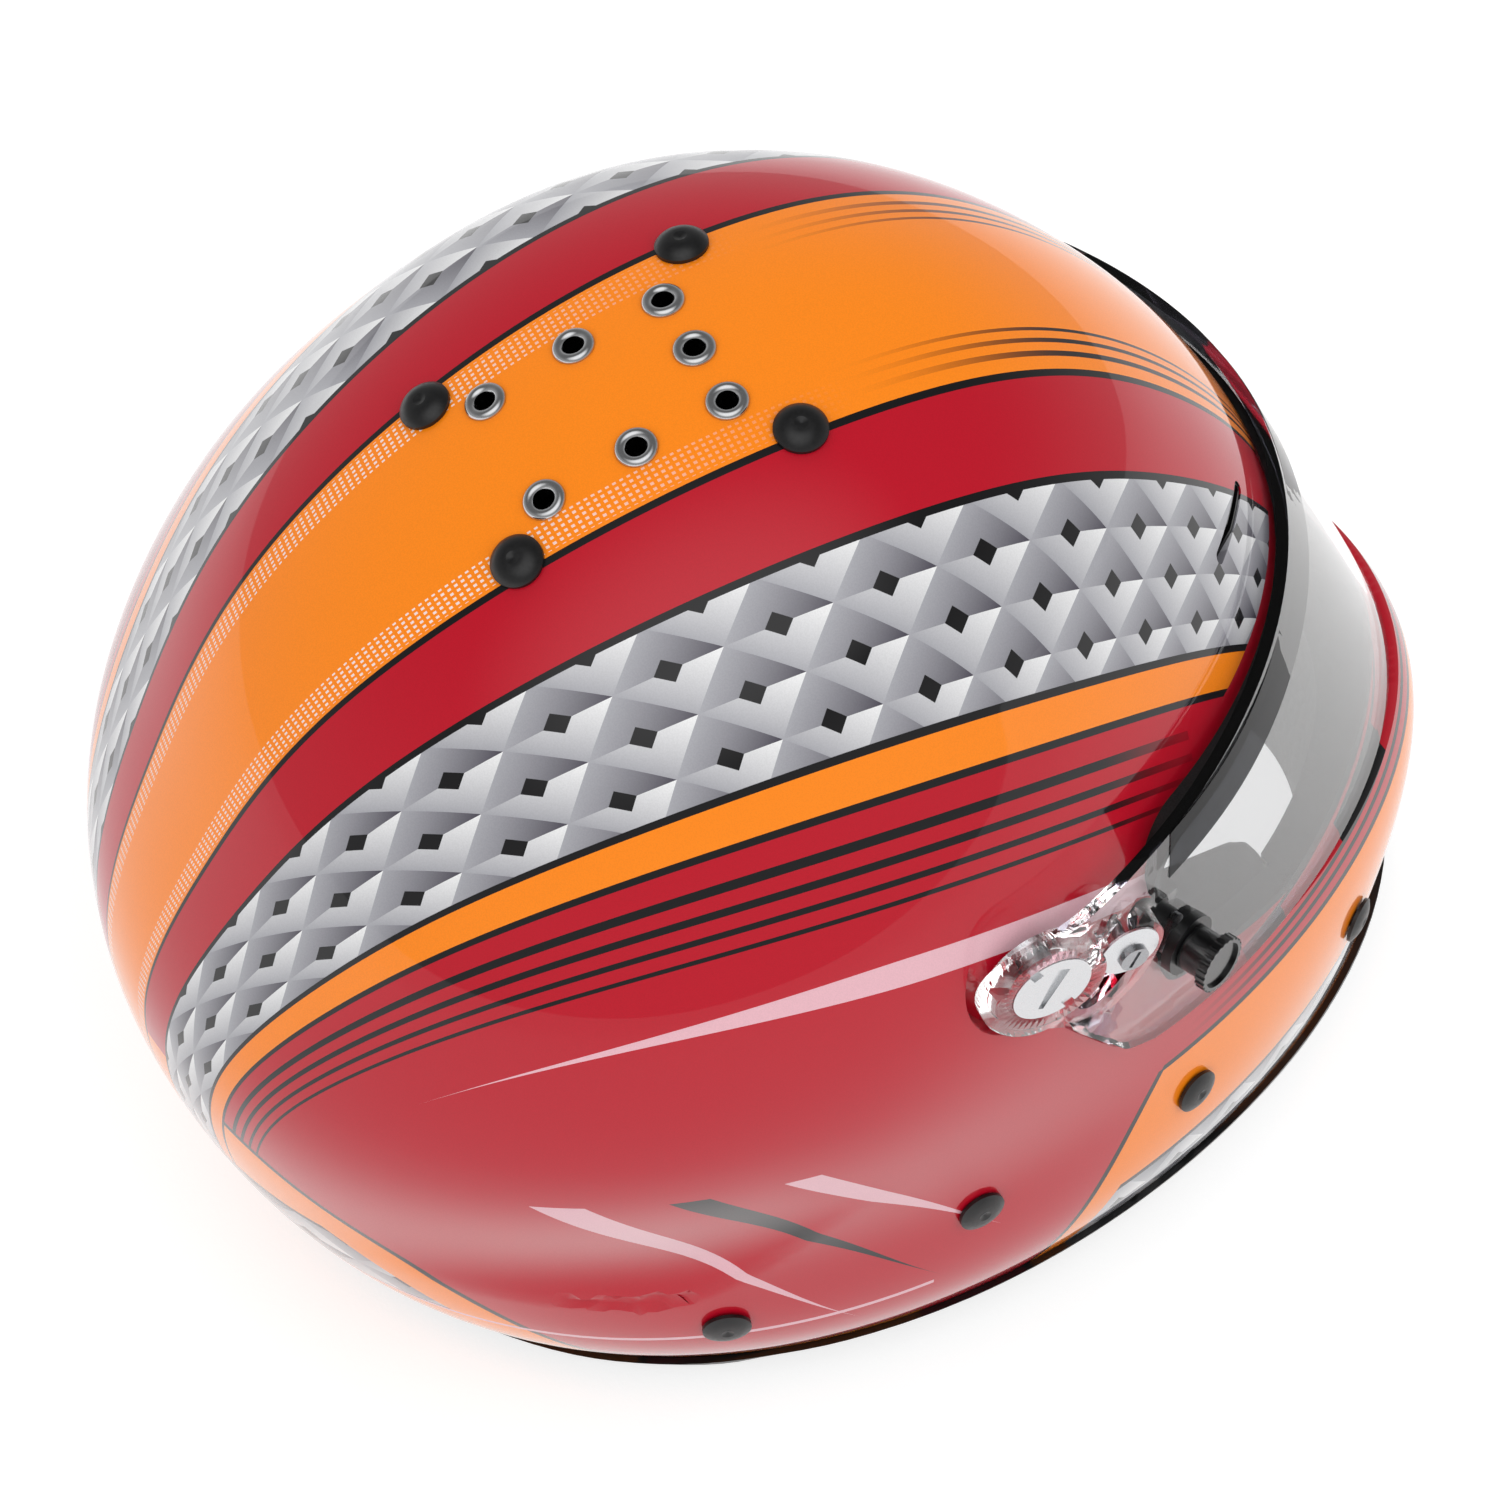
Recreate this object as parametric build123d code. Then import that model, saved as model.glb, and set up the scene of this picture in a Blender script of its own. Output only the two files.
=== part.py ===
"""Full-face auto racing helmet with a hinged visor, built piece by piece.

Millimetres. +Z is up, the face looks along -Y and the wearer's right side is -X.
The origin is under the middle of the helmet, on the surface that it stands on.
"""
from build123d import *
import math
import os
import numpy as np

# Whole shell
shell_height = 262.0
shell_half_width = 128.0
front_reach = 167.4  # crown axis to the foremost point of the chin bar
rear_reach = 181.3  # crown axis to the rearmost point
shell_wall = 3.4
crown_y = (front_reach - rear_reach) / 2

# Reach of each level over the cosine of its angle, as a share of the largest reach
level_angles = [0, 8, 16, 27, 40, 55, 70, 90]
width_shares = [0.828, 0.968, 1.000, 1.119, 1.233, 1.311, 1.535, 1.540]
front_shares = [0.985, 0.981, 1.036, 0.920, 0.905, 0.922, 0.955, 1.060]
rear_shares = [0.774, 0.912, 1.014, 1.118, 1.166, 1.251, 1.285, 1.315]
pointed_shares = [-0.12, -0.12, -0.05]  # how far the front is narrower, at base, middle and crown
level_step_angle = 4
levels_below_base = 2  # the surface runs on below the base edge
around_step_angle = 6
surface_tolerance = 0.1
section_step_angle = 20
probe_angle = 0.25  # to either side of a point where a surface's direction is measured
crown_search_angles = (40.0, 89.9)
crown_search_steps = 40
seam_angle = 180  # every section of the visor starts at the rear

# Tuck above the flared skirt at the rear sides
tuck_depth = 3.6
tuck_height = 17.0
tuck_low_z = 64.0
tuck_rise = 34.0
tuck_start_angle = 96
tuck_full_angle = 122
tuck_end_angle = 156

# Base edge, arched at the sides, and its rubber trim
base_arch_rise = 12.0
base_arch_span = 220.0
trim_wall = 1.9
trim_web = 2.4
trim_lip = 9.0

# Visor
visor_wall = 3.0
visor_inset = 0.5  # shell's half width to the visor's
visor_half_width = shell_half_width - visor_inset
visor_widest_y = crown_y + 3.3
visor_rear_reach = 62.0
visor_top_z = 180.0
visor_top_setback = 50.9  # shell's front reach to the visor's, at the top edge
visor_top_reach = front_reach - visor_top_setback
visor_slope = 0.452  # forward run for each unit of drop
visor_pointed_share = -0.17
visor_gap = 2.6  # inner face to the recess floor
pivot_y = crown_y + 1.5
pivot_z = 159.0
arm_radius = 17.0
visor_travel_angle = 45
recess_margin = 2.4
visor_lower_drop = 91.0  # top edge to the lower edge in front
strip_drop = 18.0
strip_margin = 2.0
strip_thickness = 0.25
strip_rear_y = crown_y - 36.0

# Points of the visor's lower edge: share of the reach from pivot to front, share of the drop
lower_edge_shares = [(0.225, 0.855), (0.46, 0.925), (0.70, 0.965), (0.86, 0.985), (1.04, 1.0)]
arm_notch_shares = (0.030, 0.455)
lobe_corner_shares = (0.165, 0.800)
lobe_corner_radius = 9.0

# Eyeport
eyeport_top_z = 170.5
eyeport_front_low_z = 99.0
eyeport_side_low_z = 115.0
eyeport_rear_low_y = crown_y - 38.0
eyeport_rear_top_y = crown_y - 30.0
eyeport_corner_radius = 12.0
gasket_width = 2.4
gasket_back = 1.6

# Pivot hardware
pivot_disc_radius = 10.0
pivot_disc_thickness = 2.2
pivot_hole_radius = 6.6
boss_radius = 14.0
boss_proud = 2.0
boss_back = 4.4
disc_sink = 2.4  # boss rim to the floor that the disc covers
pivot_shank_radius = 4.0
running_gap = 0.08
slide_gap = 0.3
soft_gap = 0.4
wedge_slot_width = 3.4
wedge_slot_tip = 1.4
wedge_slot_reach = 6.7
wedge_slot_depth = 1.0
slot_turn_angle = 25
rim_notch_width = 2.6
rim_notch_depth = 2.8
rim_notch_angle = 60
pivot_flange_radius = 12.5
nut_radius = 6.2
nut_depth = 5.0
hole_gap = 0.3

# Guide screw in the arc slot
guide_orbit_radius = 22.5
guide_start_angle = 10  # below the forward direction, visor closed
guide_slot_radius = 3.3
guide_sleeve_radius = 2.9
guide_washer_radius = 7.6
guide_washer_thickness = 1.7
guide_washer_rim = 0.6
guide_nut_radius = 4.0
guide_head_radius = 3.6
guide_head_height = 1.5
guide_shank_radius = 1.5
guide_island_margin = 6.0
guide_pocket_margin = 5.0
driver_slot_width = 0.9
driver_slot_length = 5.4

# Visor lock
lock_point_shares = (0.272, 0.523)  # as the lower edge's points
collar_radius = 8.0
collar_height = 2.6
knob_radius = 5.8
knob_height = 6.4
knob_rim_radius = 7.4
knob_rim_height = 2.6
knob_flutes = 24
knob_flute_radius = 0.5
knob_recess_depth = 0.8
spindle_radius = 2.0
collar_barrel_radius = 3.6
cam_length = 6.5
cam_width = 4.6
cam_thickness = 1.5
cam_back = 1.0  # visor's inner face to the cam
cam_rest_angle = 57  # above the forward direction
lock_pocket_radius = 7.6
keeper_low_radius, keeper_high_radius = 33.0, 43.5  # about the pivot
keeper_low_angle, keeper_high_angle = 13, 25
keeper_front_gap = 0.8
keeper_depth = 8.0
seal_notch_margin = 5.0

# Crown vents and plugs, measured from the crown axis
grommet_rows = [(16.7, 27.9), (16.7, 50.3), (16.0, 72.7)]
grommet_centre_y = 28.0
grommet_flange_radius = 5.1
grommet_flange_height = 1.3
grommet_bore_radius = 2.5
grommet_wall = 0.7
grommet_length = 6.0
plug_places = [(30.7, 16.6), (25.3, 83.6)]
plug_cap_radius = 6.3
plug_cap_height = 3.2
plug_stem_radius = 2.5
plug_stem_length = 5.5
plug_dimple_radius = 1.6
plug_dimple_depth = 0.5
plug_skirt = 0.9
plug_bulge_shares = (0.72, 0.78)  # a point of the dome: share of the cap's radius, share of its height
side_plug_places = [(117.2, 50.2), (93.5, 68.0), (71.5, 61.0), (45.5, 53.0)]  # angle from the front, height
side_plug_cap_radius = 6.0
side_plug_cap_height = 2.2
side_plug_gap = 0.5  # under the cap, so that its rim clears the flared skirt
insert_radius = 3.5
insert_flange_radius = 4.6
insert_flange_height = 1.0
insert_flange_gap = 0.2

# Brow vents
brow_vent_angle = 30.5
brow_vent_z = 194.0
brow_vent_length = 27.0
brow_vent_height = 3.4
brow_vent_tilt_angle = 17
brow_frame_wall = 0.8
brow_frame_depth = 5.0
brow_frame_sink = 0.4  # shell's surface to the frame's outer rim
brow_frame_gap = 0.06

# Lining
liner_thickness = 25.0
crown_pad_thickness = 9.0
liner_low_z = 90.0
liner_eyeport_margin = 8.0
liner_jaw_y = crown_y - 55.0  # front end of the liner below the eyeport
crown_pad_low_z = 98.0
crown_pad_eyeport_margin = 12.0
cheek_depth = 67.0  # shell's side to the pad's inner face
cheek_inner_x = shell_half_width - cheek_depth
cheek_low_z = 24.0
cheek_top_z = 82.0
cheek_front_setback = 75.4  # foremost point of the shell to the pad
cheek_front_y = crown_y - front_reach + cheek_front_setback
cheek_rear_y = crown_y + 20.0
cheek_corner_radius = 6.0
chin_foam_thickness = 20.0
chin_foam_low_z = 13.0
chin_foam_top_z = 79.0
neck_roll_thickness = 26.0
neck_roll_low_z = 23.0
neck_roll_top_z = 84.0
neck_roll_reach = 129.3  # rearmost point of the shell to the roll's front ends
neck_roll_front_y = crown_y + rear_reach - neck_roll_reach

# Chin strap
strap_width = 24.0
strap_thickness = 2.2
strap_y = crown_y + 36.0
strap_depth = 65.0  # shell's side to the strap's inner face
strap_inner_x = shell_half_width - strap_depth
strap_top_z = 68.0
strap_end_z = 25.0
strap_bend_radius = 3.0
anchor_height = 18.0
anchor_thickness = 4.0
loop_width = 17.0
loop_wall = 1.4
ring_wire_radius = 1.6
ring_pocket_gap = 0.1
ring_spacing = 5.2
ring_height = 19.0
ring_width = 27.0
ring_corner_radius = 4.0
snap_radius = 5.0
snap_height = 1.8

overrun = 40.0  # how far cutting tools pass the faces that they cut


def smooth_curve(knots, values):
    """Natural cubic spline through the values, as a function."""
    knots, values = np.array(knots, float), np.array(values, float)
    count = len(knots)
    step, slope = np.diff(knots), np.diff(values) / np.diff(knots)
    matrix, right = np.eye(count), np.zeros(count)
    for i in range(1, count - 1):
        matrix[i, i - 1:i + 2] = step[i - 1], 2 * (step[i - 1] + step[i]), step[i]
        right[i] = 6 * (slope[i] - slope[i - 1])
    bend = np.linalg.solve(matrix, right)

    def value_at(knot):
        i = int(np.clip(np.searchsorted(knots, knot) - 1, 0, count - 2))
        left, after = knots[i + 1] - knot, knot - knots[i]
        cubic = (bend[i] * left**3 + bend[i + 1] * after**3) / (6 * step[i])
        line = (values[i] / step[i] - bend[i] * step[i] / 6) * left
        return cubic + line + (values[i + 1] / step[i] - bend[i + 1] * step[i] / 6) * after

    return value_at


width_curve = smooth_curve(level_angles, width_shares)
front_curve = smooth_curve(level_angles, front_shares)
rear_curve = smooth_curve(level_angles, rear_shares)


def smooth_step(value):
    value = min(max(value, 0), 1)
    return value * value * (3 - 2 * value)


def tuck_at(around, height):
    """Inward dent above the crease of the flared skirt; around is the angle from the front."""
    side = smooth_step((around - tuck_start_angle) / (tuck_full_angle - tuck_start_angle))
    fade = smooth_step((tuck_end_angle - around) / (tuck_end_angle - tuck_full_angle))
    onset = (tuck_full_angle - around) / (tuck_full_angle - tuck_start_angle)
    crease = tuck_low_z + tuck_rise * smooth_step(onset)
    above = (height - crease) / tuck_height
    return tuck_depth * side * fade * above * math.exp(1 - above) if above > 0 else 0


def shell_point(level, around, inset=0.0):
    """Point of the shell form at a level angle and an angle around from the front."""
    around = around % 360
    cosine, sine = math.cos(math.radians(level)), math.sin(math.radians(level))
    turn = math.radians(around)
    height = (shell_height - inset) * sine
    dent = tuck_at(around if around <= 180 else 360 - around, height)
    half = (shell_half_width * width_curve(level) - inset - dent) * cosine
    front = (front_reach * front_curve(level) - inset) * cosine
    rear = (rear_reach * rear_curve(level) - inset - dent / 2) * cosine
    pointed = float(np.interp(sine, [0, 0.5, 1], pointed_shares))
    x = -half * math.sin(turn) * (1 + pointed * math.cos(turn))
    y = crown_y + (rear - front) / 2 - (rear + front) / 2 * math.cos(turn)
    return Vector(x, y, height)


def closed_curve(points):
    return Wire([Edge.make_spline(points, periodic=True)])


def shell_form(inset=0.0):
    """Solid bounded by the shell's surface moved inwards by the inset."""
    levels = [*range(-levels_below_base * level_step_angle, 90, level_step_angle), 90]
    rounds = range(0, 180 + around_step_angle, around_step_angle)
    points = [[shell_point(level, around, inset) for around in rounds] for level in levels]
    right = Face.make_surface_from_array_of_points(points, tol=surface_tolerance, min_deg=3, max_deg=3)
    low_edge = right.edges().sort_by(Axis.Z)[0]
    low_face = Face(Wire([low_edge, low_edge.mirror(Plane.YZ)]))
    return Solid(Shell([right, right.mirror(Plane.YZ), low_face]))


def level_at(height, inset=0.0):
    return math.degrees(math.asin(height / (shell_height - inset)))


def surface_frame(level, around):
    """Plane on the shell's surface whose normal points outwards."""
    here = shell_point(level, around)
    along = shell_point(level, around + probe_angle) - shell_point(level, around - probe_angle)
    upward = shell_point(level + probe_angle, around) - shell_point(level - probe_angle, around)
    return Plane(origin=here, x_dir=along, z_dir=upward.cross(along))


def crown_frame(side, behind):
    """Plane on the crown at a place given sideways and behind the crown axis."""
    low, high = crown_search_angles
    for _ in range(crown_search_steps):
        level = (low + high) / 2
        cosine = math.cos(math.radians(level))
        front = front_reach * front_curve(level) * cosine
        rear = rear_reach * rear_curve(level) * cosine
        ratio = ((rear - front) / 2 - behind) / ((rear + front) / 2)
        inside = abs(ratio) < 1
        if inside:
            around = math.degrees(math.acos(ratio))
            inside = abs(shell_point(level, around).X) > abs(side)
        low, high = (level, high) if inside else (low, level)
    return surface_frame(low, around if side <= 0 else 360 - around)


def visor_point(height, around, offset=0.0):
    """Point of the visor's outer face moved outwards by the offset."""
    turn = math.radians(around)
    front = visor_top_reach - crown_y + visor_widest_y + (visor_top_z - height) * visor_slope + offset
    reach = front if math.cos(turn) > 0 else visor_rear_reach + offset
    x = -(visor_half_width + offset) * math.sin(turn) * (1 + visor_pointed_share * math.cos(turn))
    return Vector(x, visor_widest_y - reach * math.cos(turn), height)


def visor_form(offset=0.0):
    """Solid inside the visor's face, straight in side view."""
    low, high = visor_top_z - visor_lower_drop - overrun, visor_top_z + overrun
    rounds = range(seam_angle, seam_angle + 360, section_step_angle)
    wires = [closed_curve([visor_point(z, around, offset) for around in rounds]) for z in (low, high)]
    return Solid.make_loft(wires, ruled=True)


def side_place(shares):
    """Place in the side view from shares of the visor's reach and drop."""
    reach = pivot_y + visor_top_reach - crown_y + visor_lower_drop * visor_slope
    return (pivot_y - shares[0] * reach, visor_top_z - shares[1] * visor_lower_drop)


def shifted(places, grow):
    """Points of an open outline moved outwards, with its edges kept parallel."""
    places = np.array(places)
    ways = np.diff(places, axis=0)
    normals = np.column_stack([-ways[:, 1], ways[:, 0]]) / np.linalg.norm(ways, axis=1)[:, None]
    before, after = np.vstack([normals[:1], normals]), np.vstack([normals, normals[-1:]])
    spread = 1 + (before * after).sum(axis=1)[:, None]
    return [tuple(place) for place in places + grow * (before + after) / spread]


def visor_outline(grow=0.0):
    """The visor's outline in the side view: arm end, top edge, lobe and lower edge."""
    edge = [(pivot_y, pivot_z - arm_radius), side_place(arm_notch_shares), side_place(lobe_corner_shares)]
    edge = shifted(edge + [side_place(shares) for shares in lower_edge_shares], grow)
    notch, corner, lower = edge[1], edge[2], edge[3:]
    front_y = side_place(lower_edge_shares[-1])[0]
    top_z = visor_top_z + grow
    arm_top = (pivot_y, pivot_z + arm_radius + grow)
    arm_end = (pivot_y + arm_radius + grow, pivot_z)
    arm_low = (pivot_y, pivot_z - arm_radius - grow)
    shoulder = (pivot_y - overrun, (top_z + arm_top[1]) / 2)
    outline = Curve() + [
        Line((front_y, top_z), (pivot_y - overrun * 2, top_z)),
        Spline((pivot_y - overrun * 2, top_z), shoulder, arm_top, tangents=[(1, 0), (1, 0)]),
        ThreePointArc(arm_top, arm_end, arm_low),
        Line(arm_low, notch),
        Line(notch, corner),
        Line(corner, lower[0]),
        Spline(*lower),
        Line(lower[-1], (front_y, top_z)),
    ]
    face = make_face(outline)
    sharp = face.vertices().filter_by(lambda v: abs(v.X - corner[0]) + abs(v.Y - corner[1]) < slide_gap)
    return fillet(sharp, lobe_corner_radius + grow)


def through_slab(face):
    """Prism of a side-view outline, across the whole helmet."""
    return extrude(Plane.YZ * face, amount=shell_half_width + overrun, both=True)


def block(x, y, z):
    """Box between two values on each axis."""
    low, high = Vector(x[0], y[0], z[0]), Vector(x[1], y[1], z[1])
    size = high - low
    return Pos(*(low + size / 2)) * Box(size.X, size.Y, size.Z)


def helmet_form(inset=0.0):
    """Shell form with the visor's recess, moved inwards by the inset."""
    zone = through_slab(visor_outline(recess_margin + inset))
    return shell_form(inset) - (zone - visor_form(-visor_wall - visor_gap - inset))


def arch_tool(rise=0.0):
    """Everything under the arched base edge, raised by the rise."""
    radius = ((base_arch_span / 2)**2 + base_arch_rise**2) / (2 * base_arch_rise)
    drum = Cylinder(radius + rise, 4 * shell_half_width, rotation=(0, 90, 0))
    wide = 2 * (front_reach + rear_reach)
    return Pos(0, 0, base_arch_rise - radius) * drum + Pos(0, 0, rise - wide / 2) * Box(wide, wide, wide)


def mirrored(shape):
    return shape.mirror(Plane.YZ)


def turned(*points):
    """Solid turned about Z from a closed profile of radius and height points."""
    return revolve(Plane.XZ * make_face(Polyline(*points, close=True)), Axis.Z)


def rod(radius, low, high):
    return Pos(0, 0, (low + high) / 2) * Cylinder(radius, high - low)


def on_surface(plane, shape):
    return Location(plane) * shape


def eyeport_outline(grow=0.0):
    front_y = crown_y - front_reach - overrun
    corners = [(front_y, eyeport_top_z + grow), (eyeport_rear_top_y + grow, eyeport_top_z + grow),
               (eyeport_rear_low_y + grow, eyeport_side_low_z - grow),
               (crown_y - front_reach / 2, eyeport_front_low_z - grow),
               (front_y, eyeport_front_low_z - grow)]
    face = make_face(Polyline(*corners, close=True))
    rear = face.vertices().sort_by(Axis.X)[-3:]
    return fillet(rear, eyeport_corner_radius + grow)


def side_axis_rod(radius, x_low, x_high, y=pivot_y, z=pivot_z):
    """Rod along X on the wearer's right side, between two distances from the middle."""
    return Pos(-(x_low + x_high) / 2, y, z) * Cylinder(radius, x_high - x_low, rotation=(0, 90, 0))


def side_prism(face, x_low, x_high):
    """Prism of a side-view outline between two distances from the middle, wearer's right."""
    return Pos(-x_high, 0, 0) * extrude(Plane.YZ * face, amount=x_high - x_low)


# Places on the wearer's right side that several pieces share
pivot_around = 90 + math.degrees(math.asin((pivot_y - visor_widest_y) / visor_rear_reach))
arm_face_x = -visor_point(pivot_z, pivot_around).X
boss_outer_x = arm_face_x + boss_proud
boss_inner_x = arm_face_x - boss_back
seat_x = boss_inner_x - slide_gap
guide_turn = math.radians(guide_start_angle)
guide_y = pivot_y - guide_orbit_radius * math.cos(guide_turn)
guide_z = pivot_z - guide_orbit_radius * math.sin(guide_turn)
deep_x = shell_half_width - overrun  # well inside the wall near the pivots
far_x = shell_half_width + overrun


def orbit_spot(angle, radius):
    """Place in the side view at an angle below the forward direction from the pivot."""
    turn = math.radians(angle)
    return (pivot_y - radius * math.cos(turn), pivot_z - radius * math.sin(turn))


def arc_slot(half_width):
    """Outline of the slot that the guide runs along while the visor turns."""
    first, last = guide_start_angle, guide_start_angle + visor_travel_angle
    middle = (first + last) / 2
    low, high = guide_orbit_radius - half_width, guide_orbit_radius + half_width
    band = make_face(Curve() + [
        ThreePointArc(orbit_spot(first, low), orbit_spot(middle, low), orbit_spot(last, low)),
        Line(orbit_spot(last, low), orbit_spot(last, high)),
        ThreePointArc(orbit_spot(last, high), orbit_spot(middle, high), orbit_spot(first, high)),
        Line(orbit_spot(first, high), orbit_spot(first, low)),
    ])
    for angle in (first, last):
        band += Pos(*orbit_spot(angle, guide_orbit_radius)) * Circle(half_width)
    return band


# The slot's island is level with the visor's face at the slot's lower end
slot_end_y = orbit_spot(guide_start_angle + visor_travel_angle, guide_orbit_radius)[0]
front_run = visor_top_reach - crown_y + visor_widest_y + (visor_top_z - guide_z) * visor_slope
slot_end_around = math.degrees(math.acos((visor_widest_y - slot_end_y) / front_run))
island_x = -visor_point(guide_z, slot_end_around).X
washer_x = island_x + slide_gap


def lock_frame():
    """Plane on the visor's outer face at the lock, normal outwards."""
    place = side_place(lock_point_shares)
    run = visor_top_reach - crown_y + visor_widest_y + (visor_top_z - place[1]) * visor_slope
    around = math.degrees(math.acos((visor_widest_y - place[0]) / run))
    here = visor_point(place[1], around)
    along = visor_point(place[1], around + probe_angle) - visor_point(place[1], around - probe_angle)
    upward = visor_point(place[1] + slide_gap, around) - visor_point(place[1] - slide_gap, around)
    return Plane(origin=here, x_dir=along, z_dir=upward.cross(along))


lock_place = lock_frame()
grommet_places = [(0, grommet_centre_y)] + [(side * x, y) for x, y in grommet_rows for side in (1, -1)]
grommet_frames = [crown_frame(x, y) for x, y in grommet_places]
plug_frames = [crown_frame(side * x, y) for x, y in plug_places for side in (1, -1)]
side_plug_frames = [surface_frame(level_at(z), side * around % 360)
                    for around, z in side_plug_places for side in (1, -1)]
grommet_radius = grommet_bore_radius + grommet_wall


def brow_frame(side):
    """Plane at a brow vent; its X axis runs along the slot."""
    plane = surface_frame(level_at(brow_vent_z), side * brow_vent_angle % 360)
    return plane.rotated((0, 0, side * -brow_vent_tilt_angle))


brow_frames = [brow_frame(1), brow_frame(-1)]
pieces = {}

# Shell
outer = helmet_form()
inner = helmet_form(shell_wall)
print("shell forms ready")
arm_cuts = [
    side_axis_rod(boss_radius + recess_margin, seat_x, far_x),
    side_axis_rod(pivot_shank_radius + hole_gap, deep_x, far_x),
    side_axis_rod(guide_shank_radius + hole_gap, deep_x, far_x, guide_y, guide_z),
]
hole_cuts = [on_surface(place, rod(grommet_radius + hole_gap / 2, -overrun / 2, overrun / 2))
             for place in grommet_frames]
hole_cuts += [on_surface(place, rod(plug_stem_radius + hole_gap / 2, -overrun / 2, overrun / 2))
              for place in plug_frames]
hole_cuts += [on_surface(place, rod(insert_radius + running_gap, -overrun / 2, overrun / 2))
              for place in side_plug_frames]
brow_slot = extrude(SlotOverall(brow_vent_length, brow_vent_height), overrun / 4, both=True)
hole_cuts += [on_surface(place, brow_slot) for place in brow_frames]
shell = outer - inner
shell -= through_slab(eyeport_outline())
shell -= arch_tool(trim_web)
hole_cuts += arm_cuts + [mirrored(cut) for cut in arm_cuts]
hole_cuts += [on_surface(lock_place, rod(lock_pocket_radius, -overrun / 2, 0))]
shell -= hole_cuts
pieces["shell"] = shell
print("shell ready")

# Base trim
trim_zone = block((-far_x, far_x), (-far_x * 2, far_x * 2), (0, far_x)) & arch_tool(trim_lip)
trim = ((trim_zone - arch_tool()) & shell_form(-trim_wall)) - shell_form(shell_wall + trim_wall)
pieces["base_trim"] = trim - (shell_form() - shell_form(shell_wall) - arch_tool(trim_web))
print("trim ready")

# Eyeport seal
seal_ring = through_slab(eyeport_outline() - eyeport_outline(-gasket_width))
seal = seal_ring & visor_form(-visor_wall - slide_gap)
seal -= visor_form(-visor_wall - visor_gap - shell_wall - gasket_back)


def keeper_outline(grow=0.0):
    low, high = keeper_low_radius, keeper_high_radius + grow
    first = keeper_low_angle - math.degrees(grow / high)
    last = keeper_high_angle + math.degrees(grow / high)
    middle = (first + last) / 2
    return make_face(Curve() + [
        ThreePointArc(orbit_spot(first, low), orbit_spot(middle, low), orbit_spot(last, low)),
        Line(orbit_spot(last, low), orbit_spot(last, high)),
        ThreePointArc(orbit_spot(last, high), orbit_spot(middle, high), orbit_spot(first, high)),
        Line(orbit_spot(first, high), orbit_spot(first, low)),
    ])


keeper = side_prism(keeper_outline(), 0, far_x) & visor_form(-visor_wall - keeper_front_gap)
keeper -= visor_form(-visor_wall - keeper_front_gap - keeper_depth)
pieces["lock_keeper"] = keeper - shell
seal -= side_prism(keeper_outline(seal_notch_margin), 0, far_x)
seal -= on_surface(lock_place, rod(lock_pocket_radius + soft_gap, -overrun / 2, overrun / 2))
pieces["eyeport_seal"] = seal
print("seal ready")

# Visor
visor_blank = through_slab(visor_outline()) & visor_form()
island = side_prism(offset(arc_slot(guide_slot_radius), guide_island_margin), deep_x, island_x)
island = island & through_slab(visor_outline())
visor_blank += [island, mirrored(island)]
visor_blank -= visor_form(-visor_wall)
boss = side_axis_rod(boss_radius, boss_inner_x, boss_outer_x)
visor_blank += [boss, mirrored(boss)]
visor_cuts = [
    side_axis_rod(boss_radius, deep_x, boss_inner_x),
    side_axis_rod(pivot_disc_radius + slide_gap, boss_outer_x - disc_sink, far_x),
    side_axis_rod(pivot_hole_radius, deep_x, far_x),
    side_prism(offset(arc_slot(guide_slot_radius), guide_pocket_margin), island_x, far_x),
    side_prism(arc_slot(guide_slot_radius), deep_x, far_x),
]
visor_cuts += [mirrored(cut) for cut in visor_cuts]
visor_cuts += [on_surface(lock_place, rod(collar_barrel_radius + running_gap, -overrun / 2, overrun / 2))]
pieces["visor"] = visor_blank - visor_cuts
print("visor ready")

# Sun strip along the visor's top edge
strip_zone = block((-far_x, far_x), (-far_x * 2, strip_rear_y),
                   (visor_top_z - strip_drop, visor_top_z - strip_margin))
pieces["sun_strip"] = (strip_zone & visor_form(strip_thickness)) - visor_form()

# Pivot and guide hardware
floor_form = visor_form(-visor_wall - visor_gap)
bush = side_axis_rod(pivot_flange_radius, deep_x, seat_x)
bush += side_axis_rod(pivot_hole_radius - running_gap, deep_x, boss_outer_x - disc_sink + slide_gap)
bush -= [side_axis_rod(pivot_shank_radius + running_gap, 0, far_x), floor_form]
bush_right = bush.solids().sort_by(SortBy.VOLUME)[-1]
disc_x = boss_outer_x - disc_sink + slide_gap
disc_face_x = disc_x + pivot_disc_thickness
screw = side_axis_rod(pivot_disc_radius, disc_x, disc_face_x)
wedge = Polyline((-wedge_slot_width / 2, wedge_slot_reach), (wedge_slot_width / 2, wedge_slot_reach),
                 (wedge_slot_tip / 2, -wedge_slot_reach), (-wedge_slot_tip / 2, -wedge_slot_reach),
                 close=True)
wedge_face = Pos(pivot_y, pivot_z) * Rot(0, 0, slot_turn_angle) * make_face(wedge)
screw -= side_prism(wedge_face, disc_face_x - wedge_slot_depth, far_x)
for turn in (rim_notch_angle, rim_notch_angle + 180):
    notch = Pos(pivot_y, pivot_z) * Rot(0, 0, turn) * Pos(pivot_disc_radius, 0) * Rectangle(
        rim_notch_depth * 2, rim_notch_width)
    screw -= side_prism(notch, disc_face_x - wedge_slot_depth, far_x)
nut_x = arm_face_x - visor_wall - visor_gap - shell_wall - nut_depth
screw += side_axis_rod(pivot_shank_radius, nut_x, disc_x)
nut = side_axis_rod(nut_radius, nut_x, seat_x) - side_axis_rod(pivot_shank_radius + running_gap, 0, far_x)
nut_right = (nut & inner).solids().sort_by(SortBy.VOLUME)[-1]

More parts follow.
